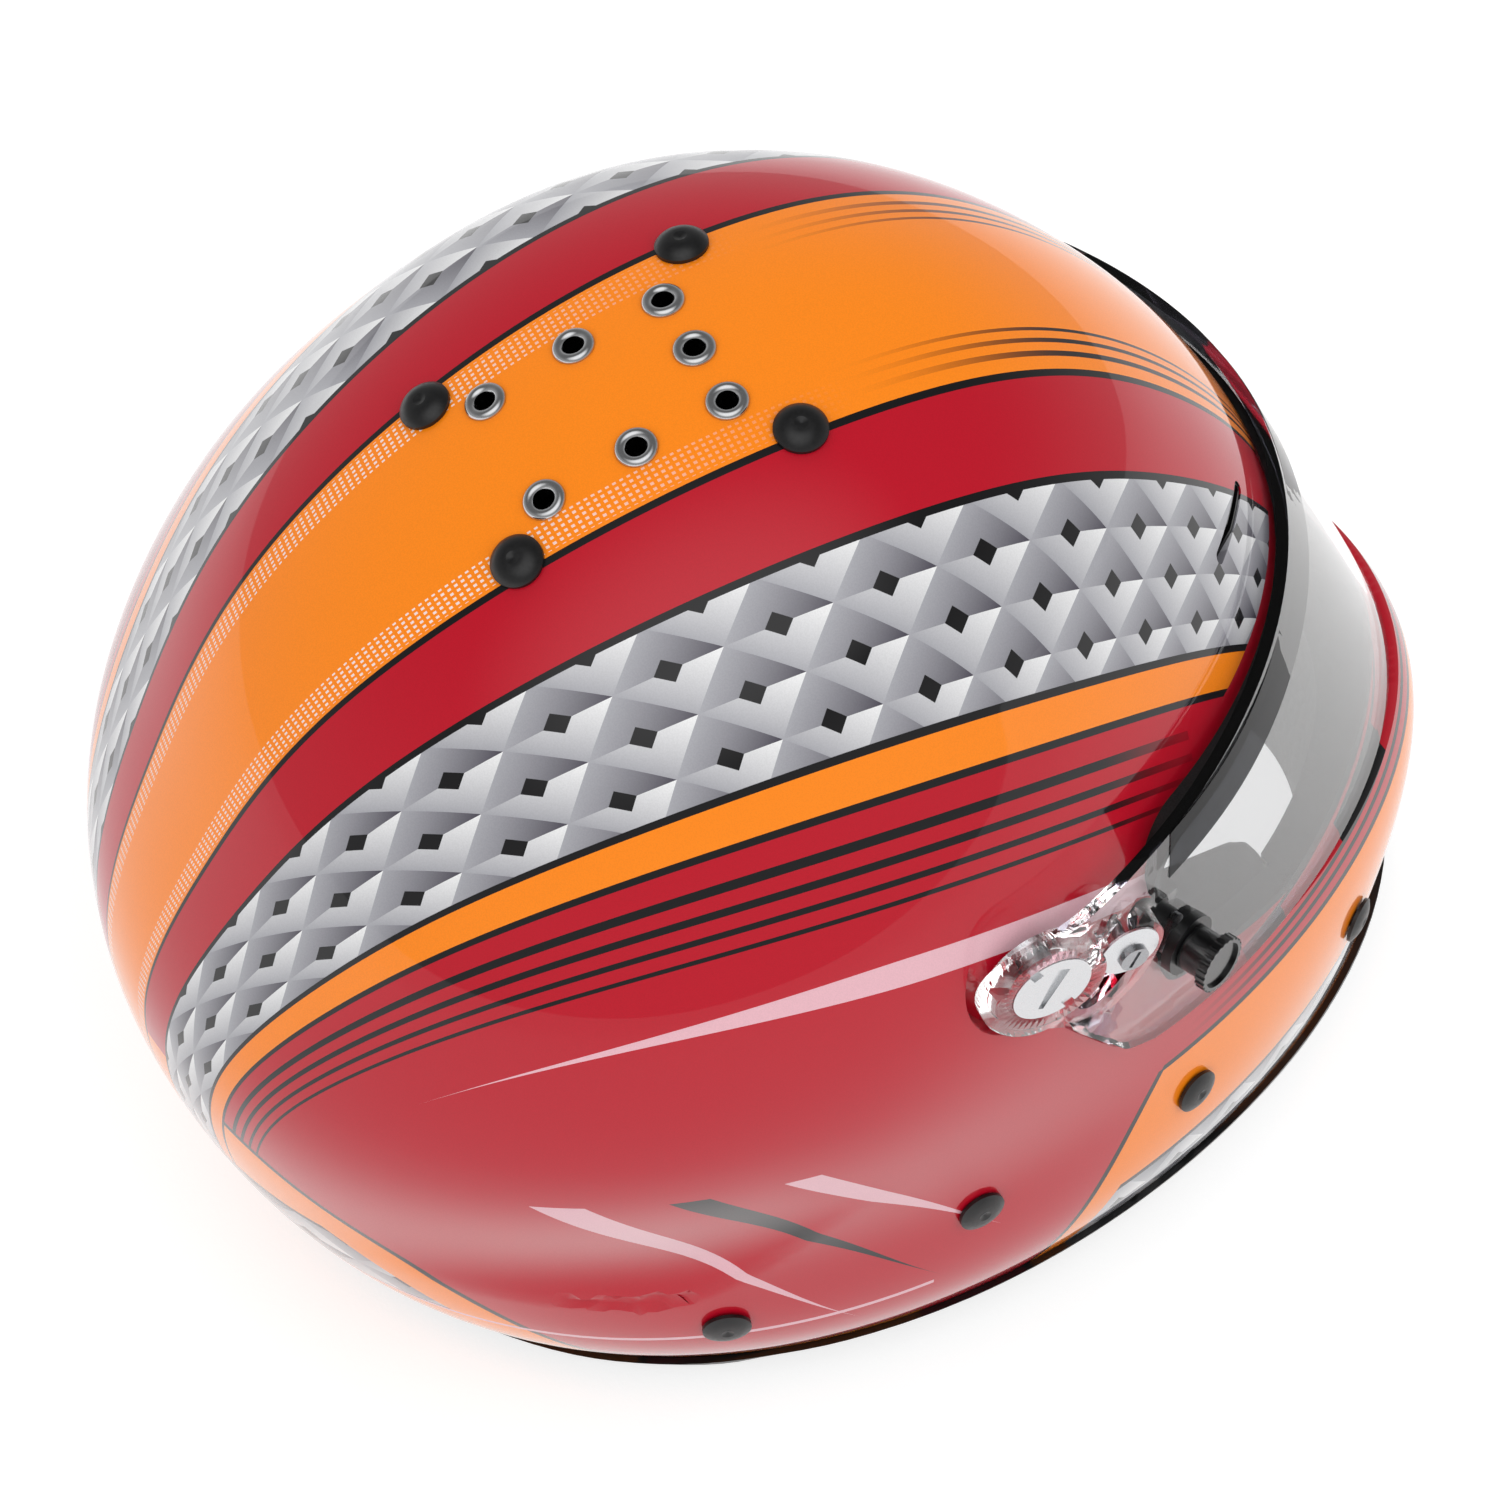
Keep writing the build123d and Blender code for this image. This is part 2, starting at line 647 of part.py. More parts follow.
washer_low = side_axis_rod(guide_washer_radius, washer_x, washer_x + guide_washer_rim, guide_y, guide_z)
washer = washer_low + Pos(-washer_x - guide_washer_rim, guide_y, guide_z) * Rot(0, -90, 0) * Cone(
    guide_washer_radius, guide_head_radius + hole_gap, guide_washer_thickness - guide_washer_rim,
    align=(Align.CENTER, Align.CENTER, Align.MIN))
washer -= side_axis_rod(guide_shank_radius + running_gap, 0, far_x, guide_y, guide_z)
sleeve = side_axis_rod(guide_sleeve_radius, deep_x, washer_x, guide_y, guide_z) - floor_form
sleeve -= side_axis_rod(guide_shank_radius + running_gap, 0, far_x, guide_y, guide_z)
head_x = washer_x + guide_washer_thickness
guide_nut_x = washer_x - visor_wall - visor_gap - shell_wall - nut_depth * 2
guide = side_axis_rod(guide_head_radius, head_x, head_x + guide_head_height, guide_y, guide_z)
slot_face = Rectangle(driver_slot_width, driver_slot_length)
slot_face = Pos(guide_y, guide_z) * Rot(0, 0, slot_turn_angle) * slot_face
guide -= side_prism(slot_face, head_x + guide_head_height / 2, far_x)
guide += side_axis_rod(guide_shank_radius, guide_nut_x, head_x, guide_y, guide_z)
guide_nut = side_axis_rod(guide_nut_radius, guide_nut_x, washer_x, guide_y, guide_z)
guide_nut -= side_axis_rod(guide_shank_radius + running_gap, 0, far_x, guide_y, guide_z)
guide_nut_right = (guide_nut & inner).solids().sort_by(SortBy.VOLUME)[-1]

for name, right in [("pivot_bush", bush_right), ("pivot_screw", screw), ("pivot_nut", nut_right),
                    ("guide_washer", washer), ("guide_sleeve", sleeve), ("guide_screw", guide),
                    ("guide_nut", guide_nut_right)]:
    pieces[name + "_right"] = right
    pieces[name + "_left"] = mirrored(right)
print("side hardware ready")

# Visor lock, in the frame of the visor's face: Z points outwards
inner_face = -visor_wall
collar = on_surface(lock_place, rod(collar_radius, -collar_height, collar_height)) - visor_form()
collar += on_surface(lock_place, rod(collar_barrel_radius, inner_face - slide_gap, collar_height))
collar -= on_surface(lock_place, rod(spindle_radius + running_gap, -overrun, overrun))
pieces["lock_collar"] = collar
knob_low = collar_height + slide_gap
knob_rim_low = knob_low + knob_height
knob_top = knob_rim_low + knob_rim_height
knob = rod(knob_radius, knob_low, knob_rim_low) + rod(knob_rim_radius, knob_rim_low, knob_top)
knob -= rod(knob_rim_radius - knob_rim_height / 2, knob_top - knob_recess_depth, overrun)
knob -= PolarLocations(knob_rim_radius, knob_flutes) * rod(knob_flute_radius, 0, overrun)
knob -= rod(spindle_radius + running_gap, 0, knob_rim_low)
pieces["lock_knob"] = on_surface(lock_place, knob)
cam_high = inner_face - cam_back
spindle = rod(spindle_radius, cam_high - cam_thickness, knob_rim_low)
pieces["lock_spindle"] = on_surface(lock_place, spindle)
forward = Vector(0, -math.cos(math.radians(cam_rest_angle)), math.sin(math.radians(cam_rest_angle)))
cam_plane = Plane(origin=lock_place.origin, x_dir=forward - lock_place.z_dir * forward.dot(lock_place.z_dir),
                  z_dir=lock_place.z_dir)
cam = SlotCenterPoint((0, 0), (cam_length / 2, 0), cam_width)
cam = Pos(0, 0, cam_high - cam_thickness) * extrude(make_face(cam.edges()), cam_thickness)
cam -= rod(spindle_radius + running_gap, -overrun, overrun)
pieces["lock_cam"] = on_surface(cam_plane, cam)
print("lock ready")

# Crown vents, plugs and inserts
grommet_arc = ThreePointArc((grommet_flange_radius, 0),
                            (grommet_radius + grommet_wall, grommet_flange_height),
                            (grommet_bore_radius, grommet_flange_height / 2))
grommet_face = make_face(Curve() + [
    grommet_arc,
    Line((grommet_bore_radius, grommet_flange_height / 2), (grommet_bore_radius, -grommet_length)),
    Line((grommet_bore_radius, -grommet_length), (grommet_radius, -grommet_length)),
    Line((grommet_radius, -grommet_length), (grommet_radius, 0)),
    Line((grommet_radius, 0), (grommet_flange_radius, 0))])
grommet = revolve(Plane.XZ * grommet_face, Axis.Z)
pieces["vent_grommets"] = Compound([on_surface(place, grommet).solids()[0] for place in grommet_frames])


def cap_plug(radius, height, stem_length):
    """Domed push-in plug with a dimple on its crown."""
    face = make_face(Curve() + [
        Line((0, -stem_length), (plug_stem_radius, -stem_length)),
        Line((plug_stem_radius, -stem_length), (plug_stem_radius, 0)),
        Line((plug_stem_radius, 0), (radius, 0)),
        Line((radius, 0), (radius, plug_skirt)),
        ThreePointArc((radius, plug_skirt), (radius * plug_bulge_shares[0], height * plug_bulge_shares[1]),
                      (plug_dimple_radius, height)),
        Line((plug_dimple_radius, height), (0, height - plug_dimple_depth)),
        Line((0, height - plug_dimple_depth), (0, -stem_length))])
    return revolve(Plane.XZ * face, Axis.Z)


top_plug = cap_plug(plug_cap_radius, plug_cap_height, plug_stem_length)
pieces["top_plugs"] = Compound([on_surface(place, top_plug).solids()[0] for place in plug_frames])
side_plug = cap_plug(side_plug_cap_radius, side_plug_cap_height, shell_wall)
seated_plug = Pos(0, 0, side_plug_gap) * side_plug
pieces["side_plugs"] = Compound([on_surface(place, seated_plug).solids()[0] for place in side_plug_frames])
flange_top = -shell_wall - insert_flange_gap
flange_low = flange_top - insert_flange_height
insert = turned((plug_stem_radius + running_gap, -insert_flange_gap), (insert_radius, -insert_flange_gap),
                (insert_radius, flange_top), (insert_flange_radius, flange_top),
                (insert_flange_radius, flange_low), (plug_stem_radius + running_gap, flange_low))
pieces["threaded_inserts"] = Compound([on_surface(place, insert).solids()[0] for place in side_plug_frames])
frame_length, frame_height = brow_vent_length - 2 * brow_frame_gap, brow_vent_height - 2 * brow_frame_gap
frame_face = SlotOverall(frame_length, frame_height) - SlotOverall(
    frame_length - 2 * brow_frame_wall, frame_height - 2 * brow_frame_wall)
vent_frame = Pos(0, 0, -brow_frame_depth) * extrude(frame_face, brow_frame_depth)
flush_form = shell_form(brow_frame_sink)
pieces["brow_vents"] = Compound([(on_surface(place, vent_frame) & flush_form).solids()[0]
                                 for place in brow_frames])
print("vents ready")

# Lining
liner_inset = shell_wall + soft_gap
liner = helmet_form(liner_inset) - block((-far_x, far_x), (-far_x * 2, far_x * 2), (-far_x, liner_low_z))
liner -= shell_form(liner_inset + liner_thickness)
liner -= through_slab(eyeport_outline(liner_eyeport_margin))
liner -= block((-far_x, far_x), (-far_x * 2, liner_jaw_y), (0, eyeport_side_low_z))
nut_pockets = [side_axis_rod(nut_radius + soft_gap, deep_x, far_x),
               side_axis_rod(guide_nut_radius + soft_gap, deep_x - nut_depth, far_x, guide_y, guide_z)]
vent_tunnels = [on_surface(place, rod(grommet_radius + soft_gap, -overrun, overrun / 2))
                for place in grommet_frames]
vent_tunnels += [on_surface(place, rod(plug_stem_radius + soft_gap, -plug_stem_length * 2, 0))
                 for place in plug_frames]
brow_tunnel = SlotOverall(brow_vent_length + soft_gap, brow_vent_height + soft_gap)
vent_tunnels += [on_surface(place, extrude(brow_tunnel, overrun / 4, both=True)) for place in brow_frames]
liner -= nut_pockets + [mirrored(pocket) for pocket in nut_pockets] + vent_tunnels
pieces["impact_liner"] = liner
print("liner ready")
pad_inset = liner_inset + liner_thickness + soft_gap
crown_pad = shell_form(pad_inset) - shell_form(pad_inset + crown_pad_thickness)
crown_pad -= block((-far_x, far_x), (-far_x * 2, far_x * 2), (-far_x, crown_pad_low_z))
pieces["crown_pad"] = crown_pad - through_slab(eyeport_outline(crown_pad_eyeport_margin))
side_form = shell_form(shell_wall + soft_gap)
side_form -= [on_surface(place, rod(insert_flange_radius + soft_gap, flange_low - soft_gap, overrun / 4))
              for place in side_plug_frames]
cheek = side_form & block((-far_x, -cheek_inner_x), (cheek_front_y, cheek_rear_y),
                          (cheek_low_z, cheek_top_z))
cheek = fillet(cheek.edges().filter_by(Axis.Z), cheek_corner_radius)
pieces["cheek_pad_right"] = cheek
pieces["cheek_pad_left"] = mirrored(cheek)
chin_zone = block((-far_x, far_x), (-far_x * 2, cheek_front_y - soft_gap),
                  (chin_foam_low_z, chin_foam_top_z))
pieces["chin_bar_foam"] = (side_form & chin_zone) - shell_form(shell_wall + soft_gap + chin_foam_thickness)
neck_zone = block((-far_x, far_x), (neck_roll_front_y, far_x * 2), (neck_roll_low_z, neck_roll_top_z))
pieces["neck_roll"] = (side_form & neck_zone) - shell_form(shell_wall + soft_gap + neck_roll_thickness)
print("lining ready")

# Chin strap
anchor_form, strap_form = shell_form(shell_wall), shell_form(shell_wall + anchor_thickness)
strap_low_y, strap_high_y = strap_y - strap_width / 2, strap_y + strap_width / 2
anchor = anchor_form & block((-far_x, -deep_x), (strap_low_y, strap_high_y),
                             (strap_top_z - anchor_height / 2, strap_top_z + anchor_height / 2))
anchor -= strap_form
strap = block((-far_x, -strap_inner_x), (strap_low_y, strap_high_y),
              (strap_top_z - strap_thickness, strap_top_z))
strap += block((-strap_inner_x - strap_thickness, -strap_inner_x), (strap_low_y, strap_high_y),
               (strap_end_z, strap_top_z))
bend = strap.edges().filter_by(Axis.Y).sort_by(lambda e: abs(e.center().X + strap_inner_x) + abs(
    e.center().Z - strap_top_z))[:1]
strap = fillet(bend, strap_bend_radius)
strap = strap & strap_form
pieces["strap_anchor_right"] = anchor
pieces["strap_anchor_left"] = mirrored(anchor)
pieces["chin_strap_right"] = strap
loop_radius = ring_wire_radius + ring_pocket_gap + loop_wall
ring_xs = [strap_inner_x + strap_thickness / 2 + side * ring_spacing / 2 for side in (-1, 1)]
loop_face = make_face(SlotCenterToCenter(ring_spacing, 2 * loop_radius).edges())
loop = Plane.XZ * Pos((ring_xs[0] + ring_xs[1]) / 2, strap_end_z) * loop_face
loop = Pos(0, strap_y, 0) * extrude(loop, loop_width / 2, both=True)
left_strap = mirrored(strap) + loop
for x in ring_xs:
    bore = Pos(x, strap_y, strap_end_z) * Cylinder(ring_wire_radius + ring_pocket_gap, 2 * strap_width,
                                                   rotation=(90, 0, 0))
    left_strap -= bore
pieces["chin_strap_left"] = left_strap


def strap_ring(x):
    """Rectangular wire ring that hangs by its upper bar."""
    middle = Plane(origin=(x, strap_y, strap_end_z - ring_height / 2), x_dir=(0, 1, 0), z_dir=(1, 0, 0))
    path = (middle * RectangleRounded(ring_width, ring_height, ring_corner_radius)).wire()
    start = Plane(origin=path @ 0, z_dir=path % 0)
    return sweep(start * Circle(ring_wire_radius), path=path)


pieces["strap_ring_inner"] = strap_ring(ring_xs[0])
pieces["strap_ring_outer"] = strap_ring(ring_xs[1])
snap = Pos(-strap_inner_x, strap_y, strap_end_z + 2 * snap_radius) * Cylinder(
    snap_radius, snap_height, rotation=(0, 90, 0), align=(Align.CENTER, Align.CENTER, Align.MIN))
pieces["strap_snap"] = snap
print("straps ready")

os.makedirs("parts", exist_ok=True)
for name, shape in pieces.items():
    solids = shape.solids()
    export_step(solids[0] if len(solids) == 1 else Compound(solids), f"parts/{name}.step")
print(len(pieces), "pieces")
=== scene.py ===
import math
import bmesh
import bpy
import numpy as np
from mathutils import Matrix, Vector


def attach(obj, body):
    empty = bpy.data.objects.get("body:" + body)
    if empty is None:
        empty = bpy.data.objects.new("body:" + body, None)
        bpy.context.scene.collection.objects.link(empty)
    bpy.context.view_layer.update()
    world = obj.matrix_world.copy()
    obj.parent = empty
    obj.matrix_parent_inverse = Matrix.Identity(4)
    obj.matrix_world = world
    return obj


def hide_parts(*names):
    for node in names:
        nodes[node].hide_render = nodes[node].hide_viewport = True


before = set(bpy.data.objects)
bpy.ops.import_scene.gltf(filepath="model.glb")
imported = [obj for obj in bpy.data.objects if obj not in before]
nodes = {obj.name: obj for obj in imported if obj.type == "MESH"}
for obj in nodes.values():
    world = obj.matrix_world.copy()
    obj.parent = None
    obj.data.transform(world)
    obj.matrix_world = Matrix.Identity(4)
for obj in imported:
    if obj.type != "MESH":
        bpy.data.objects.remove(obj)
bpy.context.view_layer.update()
scene = bpy.context.scene
metre = 1000  # in mm, the unit of every length below unless it says otherwise
print("frame loaded")

# Camera at the photograph's viewing angle
view = {
    "eye": (-694.6, 335.65, 1116.0), "target": (0, -6.95, 130), "lens": 122.76, "sensor": 36,
    "shift": (-0.0379, -0.0568), "pixels": 1500,
}
cameraData = bpy.data.cameras.new("camera")
cameraData.lens = view["lens"]
cameraData.sensor_width = view["sensor"]
cameraData.shift_x, cameraData.shift_y = view["shift"]
camera = bpy.data.objects.new("camera", cameraData)
scene.collection.objects.link(camera)
eye, target = Vector(view["eye"]) / metre, Vector(view["target"]) / metre
camera.location = eye
camera.rotation_euler = (target - eye).to_track_quat("-Z", "Y").to_euler()
scene.camera = camera
scene.render.resolution_x = scene.render.resolution_y = view["pixels"]
scene.view_settings.view_transform = "Standard"


def hexColor(text):  # sRGB hex to linear
    values = [int(text[i:i + 2], 16) / 255 for i in (1, 3, 5)]
    return tuple(v / 12.92 if v <= 0.04045 else ((v + 0.055) / 1.055) ** 2.4 for v in values) + (1.0,)


def dimmed(text, share):  # a share of a hex colour's light
    return tuple(c * share for c in hexColor(text)[:3]) + (1.0,)


def addNode(tree, kind, values=None, **settings):  # links fields and sockets, and sets plain values
    made = tree.nodes.new(kind)
    for name, value in settings.items():
        setattr(made, name, value)
    for slot, value in (values or {}).items():
        if isinstance(value, Field):
            value = value.socket
        if isinstance(value, bpy.types.NodeSocket):
            tree.links.new(value, made.inputs[slot])
        else:
            made.inputs[slot].default_value = value
    return made


class Field:  # a value in a node tree that can be calculated with
    def __init__(self, tree, socket):
        self.tree, self.socket = tree, socket

    def step(self, operation, *others):
        values = {0: self, **{i + 1: other for i, other in enumerate(others)}}
        return Field(self.tree, addNode(self.tree, "ShaderNodeMath", values, operation=operation).outputs[0])

    def __add__(self, other):
        return self.step("ADD", other)

    def __sub__(self, other):
        return self.step("SUBTRACT", other)

    def __mul__(self, other):
        return self.step("MULTIPLY", other)

    def __truediv__(self, other):
        return self.step("DIVIDE", other)

    def __lt__(self, other):
        return self.step("LESS_THAN", other)

    def __gt__(self, other):
        return self.step("GREATER_THAN", other)

    def size(self):  # without its sign
        return self.step("ABSOLUTE")

    def part(self):  # what is left after the whole number
        return self.step("FRACT")

    def most(self, other):
        return self.step("MAXIMUM", other)

    def between(self, low, high):
        return (self > low) * (self < high)

    def near(self, at, width):  # 1 on a line of this width
        return (self - at).size() < width / 2

    def ramp(self, low, high):  # 0 at low, 1 at high, smooth between them
        values = {"Value": self, "From Min": low, "From Max": high}
        made = addNode(self.tree, "ShaderNodeMapRange", values, interpolation_type="SMOOTHSTEP")
        return Field(self.tree, made.outputs[0])


def mixColors(tree, share, first, second):
    return addNode(tree, "ShaderNodeMix", {0: share, 6: first, 7: second}, data_type="RGBA").outputs[2]


def newMaterial(name):
    material = bpy.data.materials.new(name)
    material.use_nodes = True
    tree = material.node_tree
    shader = tree.nodes["Principled BSDF"]
    place = addNode(tree, "ShaderNodeTexCoord").outputs["Object"]
    return material, tree, shader, place


def grain(tree, place, scaleMm, detail=3.0):
    values = {"Vector": place, "Scale": metre / scaleMm, "Detail": detail}
    return addNode(tree, "ShaderNodeTexNoise", values).outputs[0]


def bump(tree, shader, height, depthMm):
    values = {"Height": height, "Distance": depthMm / metre, "Strength": 1.0}
    tree.links.new(addNode(tree, "ShaderNodeBump", values).outputs[0], shader.inputs["Normal"])


def solidMaterial(name, color, rough, metallic=0.0, coat=0.0, grainMm=0.6, depthMm=0.01, spread=0.12):
    # a fine grain darkens the colour by the spread, varies the gloss and lifts the surface
    material, tree, shader, place = newMaterial(name)
    speck = Field(tree, grain(tree, place, grainMm))
    shade = mixColors(tree, speck.ramp(0.3, 0.7), dimmed(color, 1 - spread), hexColor(color))
    tree.links.new(shade, shader.inputs["Base Color"])
    gloss = speck.ramp(0.25, 0.75) * (rough * 0.3) + rough * 0.85
    tree.links.new(gloss.socket, shader.inputs["Roughness"])
    shader.inputs["Metallic"].default_value = metallic
    shader.inputs["Coat Weight"].default_value = coat
    shader.inputs["Coat Roughness"].default_value = 0.05
    bump(tree, shader, speck.socket, depthMm)
    return material


# Shell surface by formula: each level is an egg-shaped section whose reach sideways, forwards and
# rearwards comes from smooth curves over the level angle, with a dent above the crease of the skirt
shell = {
    "height": 262.0, "halfWidth": 128.0, "front": 167.4, "rear": 181.3, "crownY": -6.95,
    "levels": [0, 8, 16, 27, 40, 55, 70, 90],
    "widthShares": [0.828, 0.968, 1.000, 1.119, 1.233, 1.311, 1.535, 1.540],
    "frontShares": [0.985, 0.981, 1.036, 0.920, 0.905, 0.922, 0.955, 1.060],
    "rearShares": [0.774, 0.912, 1.014, 1.118, 1.166, 1.251, 1.285, 1.315],
    "pointed": [-0.12, -0.12, -0.05],
    "tuckDepth": 3.6, "tuckHeight": 17.0, "tuckLow": 64.0, "tuckRise": 34.0, "tuckAngles": (96, 122, 156),
    "longestEdge": 4.0, "nearSkin": 1.3, "creaseBlend": 0.8,
}

# How the formula surfaces are searched: turns in radians, and sines of the lowest and highest level
search = {
    "startTurn": 1.2, "turnRounds": 3, "sectionRounds": 14, "startShare": 0.75, "sines": (-0.2, 0.99996),
    "turnStep": 0.002, "heightStep": 0.5, "facing": 0.8, "sharpAngle": 28,
}


def smoothCurve(knots, values):  # natural cubic spline through the values
    knots, values = np.array(knots, float), np.array(values, float)
    count = len(knots)
    step = np.diff(knots)
    slope = np.diff(values) / step
    matrix, right = np.eye(count), np.zeros(count)
    for i in range(1, count - 1):
        matrix[i, i - 1:i + 2] = step[i - 1], 2 * (step[i - 1] + step[i]), step[i]
        right[i] = 6 * (slope[i] - slope[i - 1])
    bend = np.linalg.solve(matrix, right)

    def valueAt(at):
        i = np.clip(np.searchsorted(knots, at) - 1, 0, count - 2)
        left, after = knots[i + 1] - at, at - knots[i]
        cubic = (bend[i] * left**3 + bend[i + 1] * after**3) / (6 * step[i])
        line = (values[i] / step[i] - bend[i] * step[i] / 6) * left
        return cubic + line + (values[i + 1] / step[i] - bend[i + 1] * step[i] / 6) * after

    return valueAt


widthCurve = smoothCurve(shell["levels"], shell["widthShares"])
frontCurve = smoothCurve(shell["levels"], shell["frontShares"])
rearCurve = smoothCurve(shell["levels"], shell["rearShares"])


def unit(vectors):
    return vectors / np.maximum(np.linalg.norm(vectors, axis=1)[:, None], 1e-12)


def smoothStep(value):
    value = np.clip(value, 0, 1)
    return value * value * (3 - 2 * value)


def shellReaches(level, turn):
    # each reach is its curve times the cosine of the level angle, and the height is the sine's share;
    # the dent starts at the crease, is deepest one tuck height above it and fades out at both ends
    sine, cosine = np.sin(np.radians(level)), np.cos(np.radians(level))
    height = shell["height"] * sine
    around = np.degrees(np.abs(turn))
    start, full, end = shell["tuckAngles"]
    crease = shell["tuckLow"] + shell["tuckRise"] * smoothStep((full - around) / (full - start))
    above = np.maximum((height - crease) / shell["tuckHeight"], 0)
    fade = smoothStep((around - start) / (full - start)) * smoothStep((end - around) / (end - full))
    dent = shell["tuckDepth"] * fade * above * np.exp(1 - above)
    half = (shell["halfWidth"] * widthCurve(level) - dent) * cosine
    front = shell["front"] * frontCurve(level) * cosine
    rear = (shell["rear"] * rearCurve(level) - dent / 2) * cosine
    return half, front, rear, np.interp(sine, [0, 0.5, 1], shell["pointed"]), height


def shellPoint(level, turn):  # a narrowed ellipse; turn is 0 in front, positive to the wearer's right
    half, front, rear, pointed, height = shellReaches(level, turn)
    x = -half * np.sin(turn) * (1 + pointed * np.cos(turn))
    y = shell["crownY"] + (rear - front) / 2 - (rear + front) / 2 * np.cos(turn)
    return np.stack([x, y, height], -1)


# Visor surface by formula: straight in side view, its front reach growing as it goes down
visor = {
    "half": 127.5, "widestY": -3.65, "widestSetback": 3.3, "topZ": 180.0, "topReach": 116.5, "slope": 0.452,
    "rear": 62.0, "pointed": -0.17, "wall": 3.0, "longestEdge": 5.0, "nearSkin": 0.6,
    "pivot": (-5.45, 159.0), "bossReach": 34.0,
}


def visorFront(height, offset):  # reach from where the visor is widest, which lies behind the crown
    return visor["topReach"] + visor["widestSetback"] + (visor["topZ"] - height) * visor["slope"] + offset


def visorPoint(height, turn, offset=0.0):  # the same narrowed ellipse, with a reach of its own to the rear
    reach = np.where(np.cos(turn) > 0, visorFront(height, offset), visor["rear"] + offset)
    x = -(visor["half"] + offset) * np.sin(turn) * (1 + visor["pointed"] * np.cos(turn))
    return np.stack([x, visor["widestY"] - reach * np.cos(turn), height + 0 * turn], -1)


def sectionTurn(u, w, pointed):  # turn at which the narrowed ellipse passes in a point's direction
    scale = search["startShare"] * np.hypot(u, w) + 1e-9
    for _ in range(search["sectionRounds"]):
        wide = scale + pointed * u
        value = (u / scale)**2 + (w / wide)**2 - 1
        scale = scale + value / (2 * u**2 / scale**3 + 2 * w**2 / wide**3)
    return np.arctan2(w / (scale + pointed * u), u / scale)


def onShell(points):  # nearest level and turn of each point, and the outward normal there
    level = np.degrees(np.arcsin(np.clip(points[:, 2] / shell["height"], *search["sines"])))
    turn = np.full(len(points), search["startTurn"])
    for _ in range(search["turnRounds"]):
        half, front, rear, pointed, height = shellReaches(level, turn)
        u = (shell["crownY"] + (rear - front) / 2 - points[:, 1]) / ((rear + front) / 2)
        turn = sectionTurn(u, -points[:, 0] / half, pointed)
    here = shellPoint(level, turn)
    step = shell["creaseBlend"]  # wide enough to round the shading over the crease of the skirt
    upward = shellPoint(level + step, turn) - shellPoint(level - step, turn)
    step = search["turnStep"]
    along = shellPoint(level, turn + step) - shellPoint(level, turn - step)
    return here, unit(np.cross(upward, along))


def onVisor(points, offset=0.0):
    height = points[:, 2]
    ahead = visor["widestY"] - points[:, 1]
    u = ahead / np.where(ahead > 0, visorFront(height, offset), visor["rear"] + offset)
    turn = sectionTurn(u, -points[:, 0] / (visor["half"] + offset), visor["pointed"])
    here = visorPoint(height, turn, offset)
    step = search["heightStep"]
    upward = visorPoint(height + step, turn, offset) - visorPoint(height - step, turn, offset)
    step = search["turnStep"]
    along = visorPoint(height, turn + step, offset) - visorPoint(height, turn - step, offset)
    return here, unit(np.cross(upward, along))


def meshArrays(mesh):
    points = np.empty(len(mesh.vertices) * 3)
    mesh.vertices.foreach_get("co", points)
    return points.reshape(-1, 3) * metre


def faceArrays(mesh):
    corners = np.empty(len(mesh.loops), int)
    mesh.loops.foreach_get("vertex_index", corners)
    return corners.reshape(-1, 3)


def faceNormals(points, faces):
    first, second, third = (points[faces[:, i]] for i in range(3))
    return unit(np.cross(second - first, third - first))


meshCopy = {"weldMetres": 2e-6, "mostSplits": 7}


def refinedCopy(node, longestMm):  # welded copy of a CAD mesh whose long edges are split
    build = bmesh.new()
    build.from_mesh(nodes[node].data)
    bmesh.ops.remove_doubles(build, verts=build.verts, dist=meshCopy["weldMetres"])
    for _ in range(meshCopy["mostSplits"]):
        long = [e for e in build.edges if e.calc_length() * metre > longestMm]
        if not long:
            break
        bmesh.ops.subdivide_edges(build, edges=long, cuts=1)
        bmesh.ops.triangulate(build, faces=[f for f in build.faces if len(f.verts) > 3])
    mesh = bpy.data.meshes.new(node)
    build.to_mesh(mesh)
    build.free()
    return mesh


def snapToSkins(mesh, skins, near, apart=None):
    # faces that lie on a formula surface, but not apart from it, are moved onto it and take its normals
    points, faces = meshArrays(mesh), faceArrays(mesh)
    moved = points.copy()
    wanted = np.zeros((len(faces), 3, 3))
    chosen = np.zeros(len(faces), bool)
    middle = points[faces].mean(1)
    free = ~apart(middle) if apart else ~chosen
    normal = faceNormals(points, faces)
    for find, sign in skins:
        here, out = find(points)
        gap = ((points - here) * out).sum(1)
        facing = (normal * find(middle)[1]).sum(1) * sign
        hit = (np.abs(gap[faces]).max(1) < near) & (facing > search["facing"]) & ~chosen & free
        chosen |= hit
        onSkin = np.unique(faces[hit])
        moved[onSkin] = points[onSkin] - out[onSkin] * gap[onSkin, None]
        wanted[hit] = out[faces[hit]] * sign
    mesh.vertices.foreach_set("co", (moved / metre).ravel())
    mesh.update()
    mesh.shade_smooth()
    mesh.set_sharp_from_angle(angle=math.radians(search["sharpAngle"]))
    corner = np.empty(len(mesh.loops) * 3)
    mesh.corner_normals.foreach_get("vector", corner)
    corner = corner.reshape(-1, 3, 3)
    corner[chosen] = wanted[chosen]
    mesh.normals_split_custom_set(corner.reshape(-1, 3).tolist())
    return chosen


def addPiece(name, mesh, material, body, replaced=()):
    piece = bpy.data.objects.new(name, mesh)
    scene.collection.objects.link(piece)
    for one in material if isinstance(material, list) else [material]:
        mesh.materials.append(one)
    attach(piece, body)
    if replaced:
        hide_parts(*replaced)
    return piece


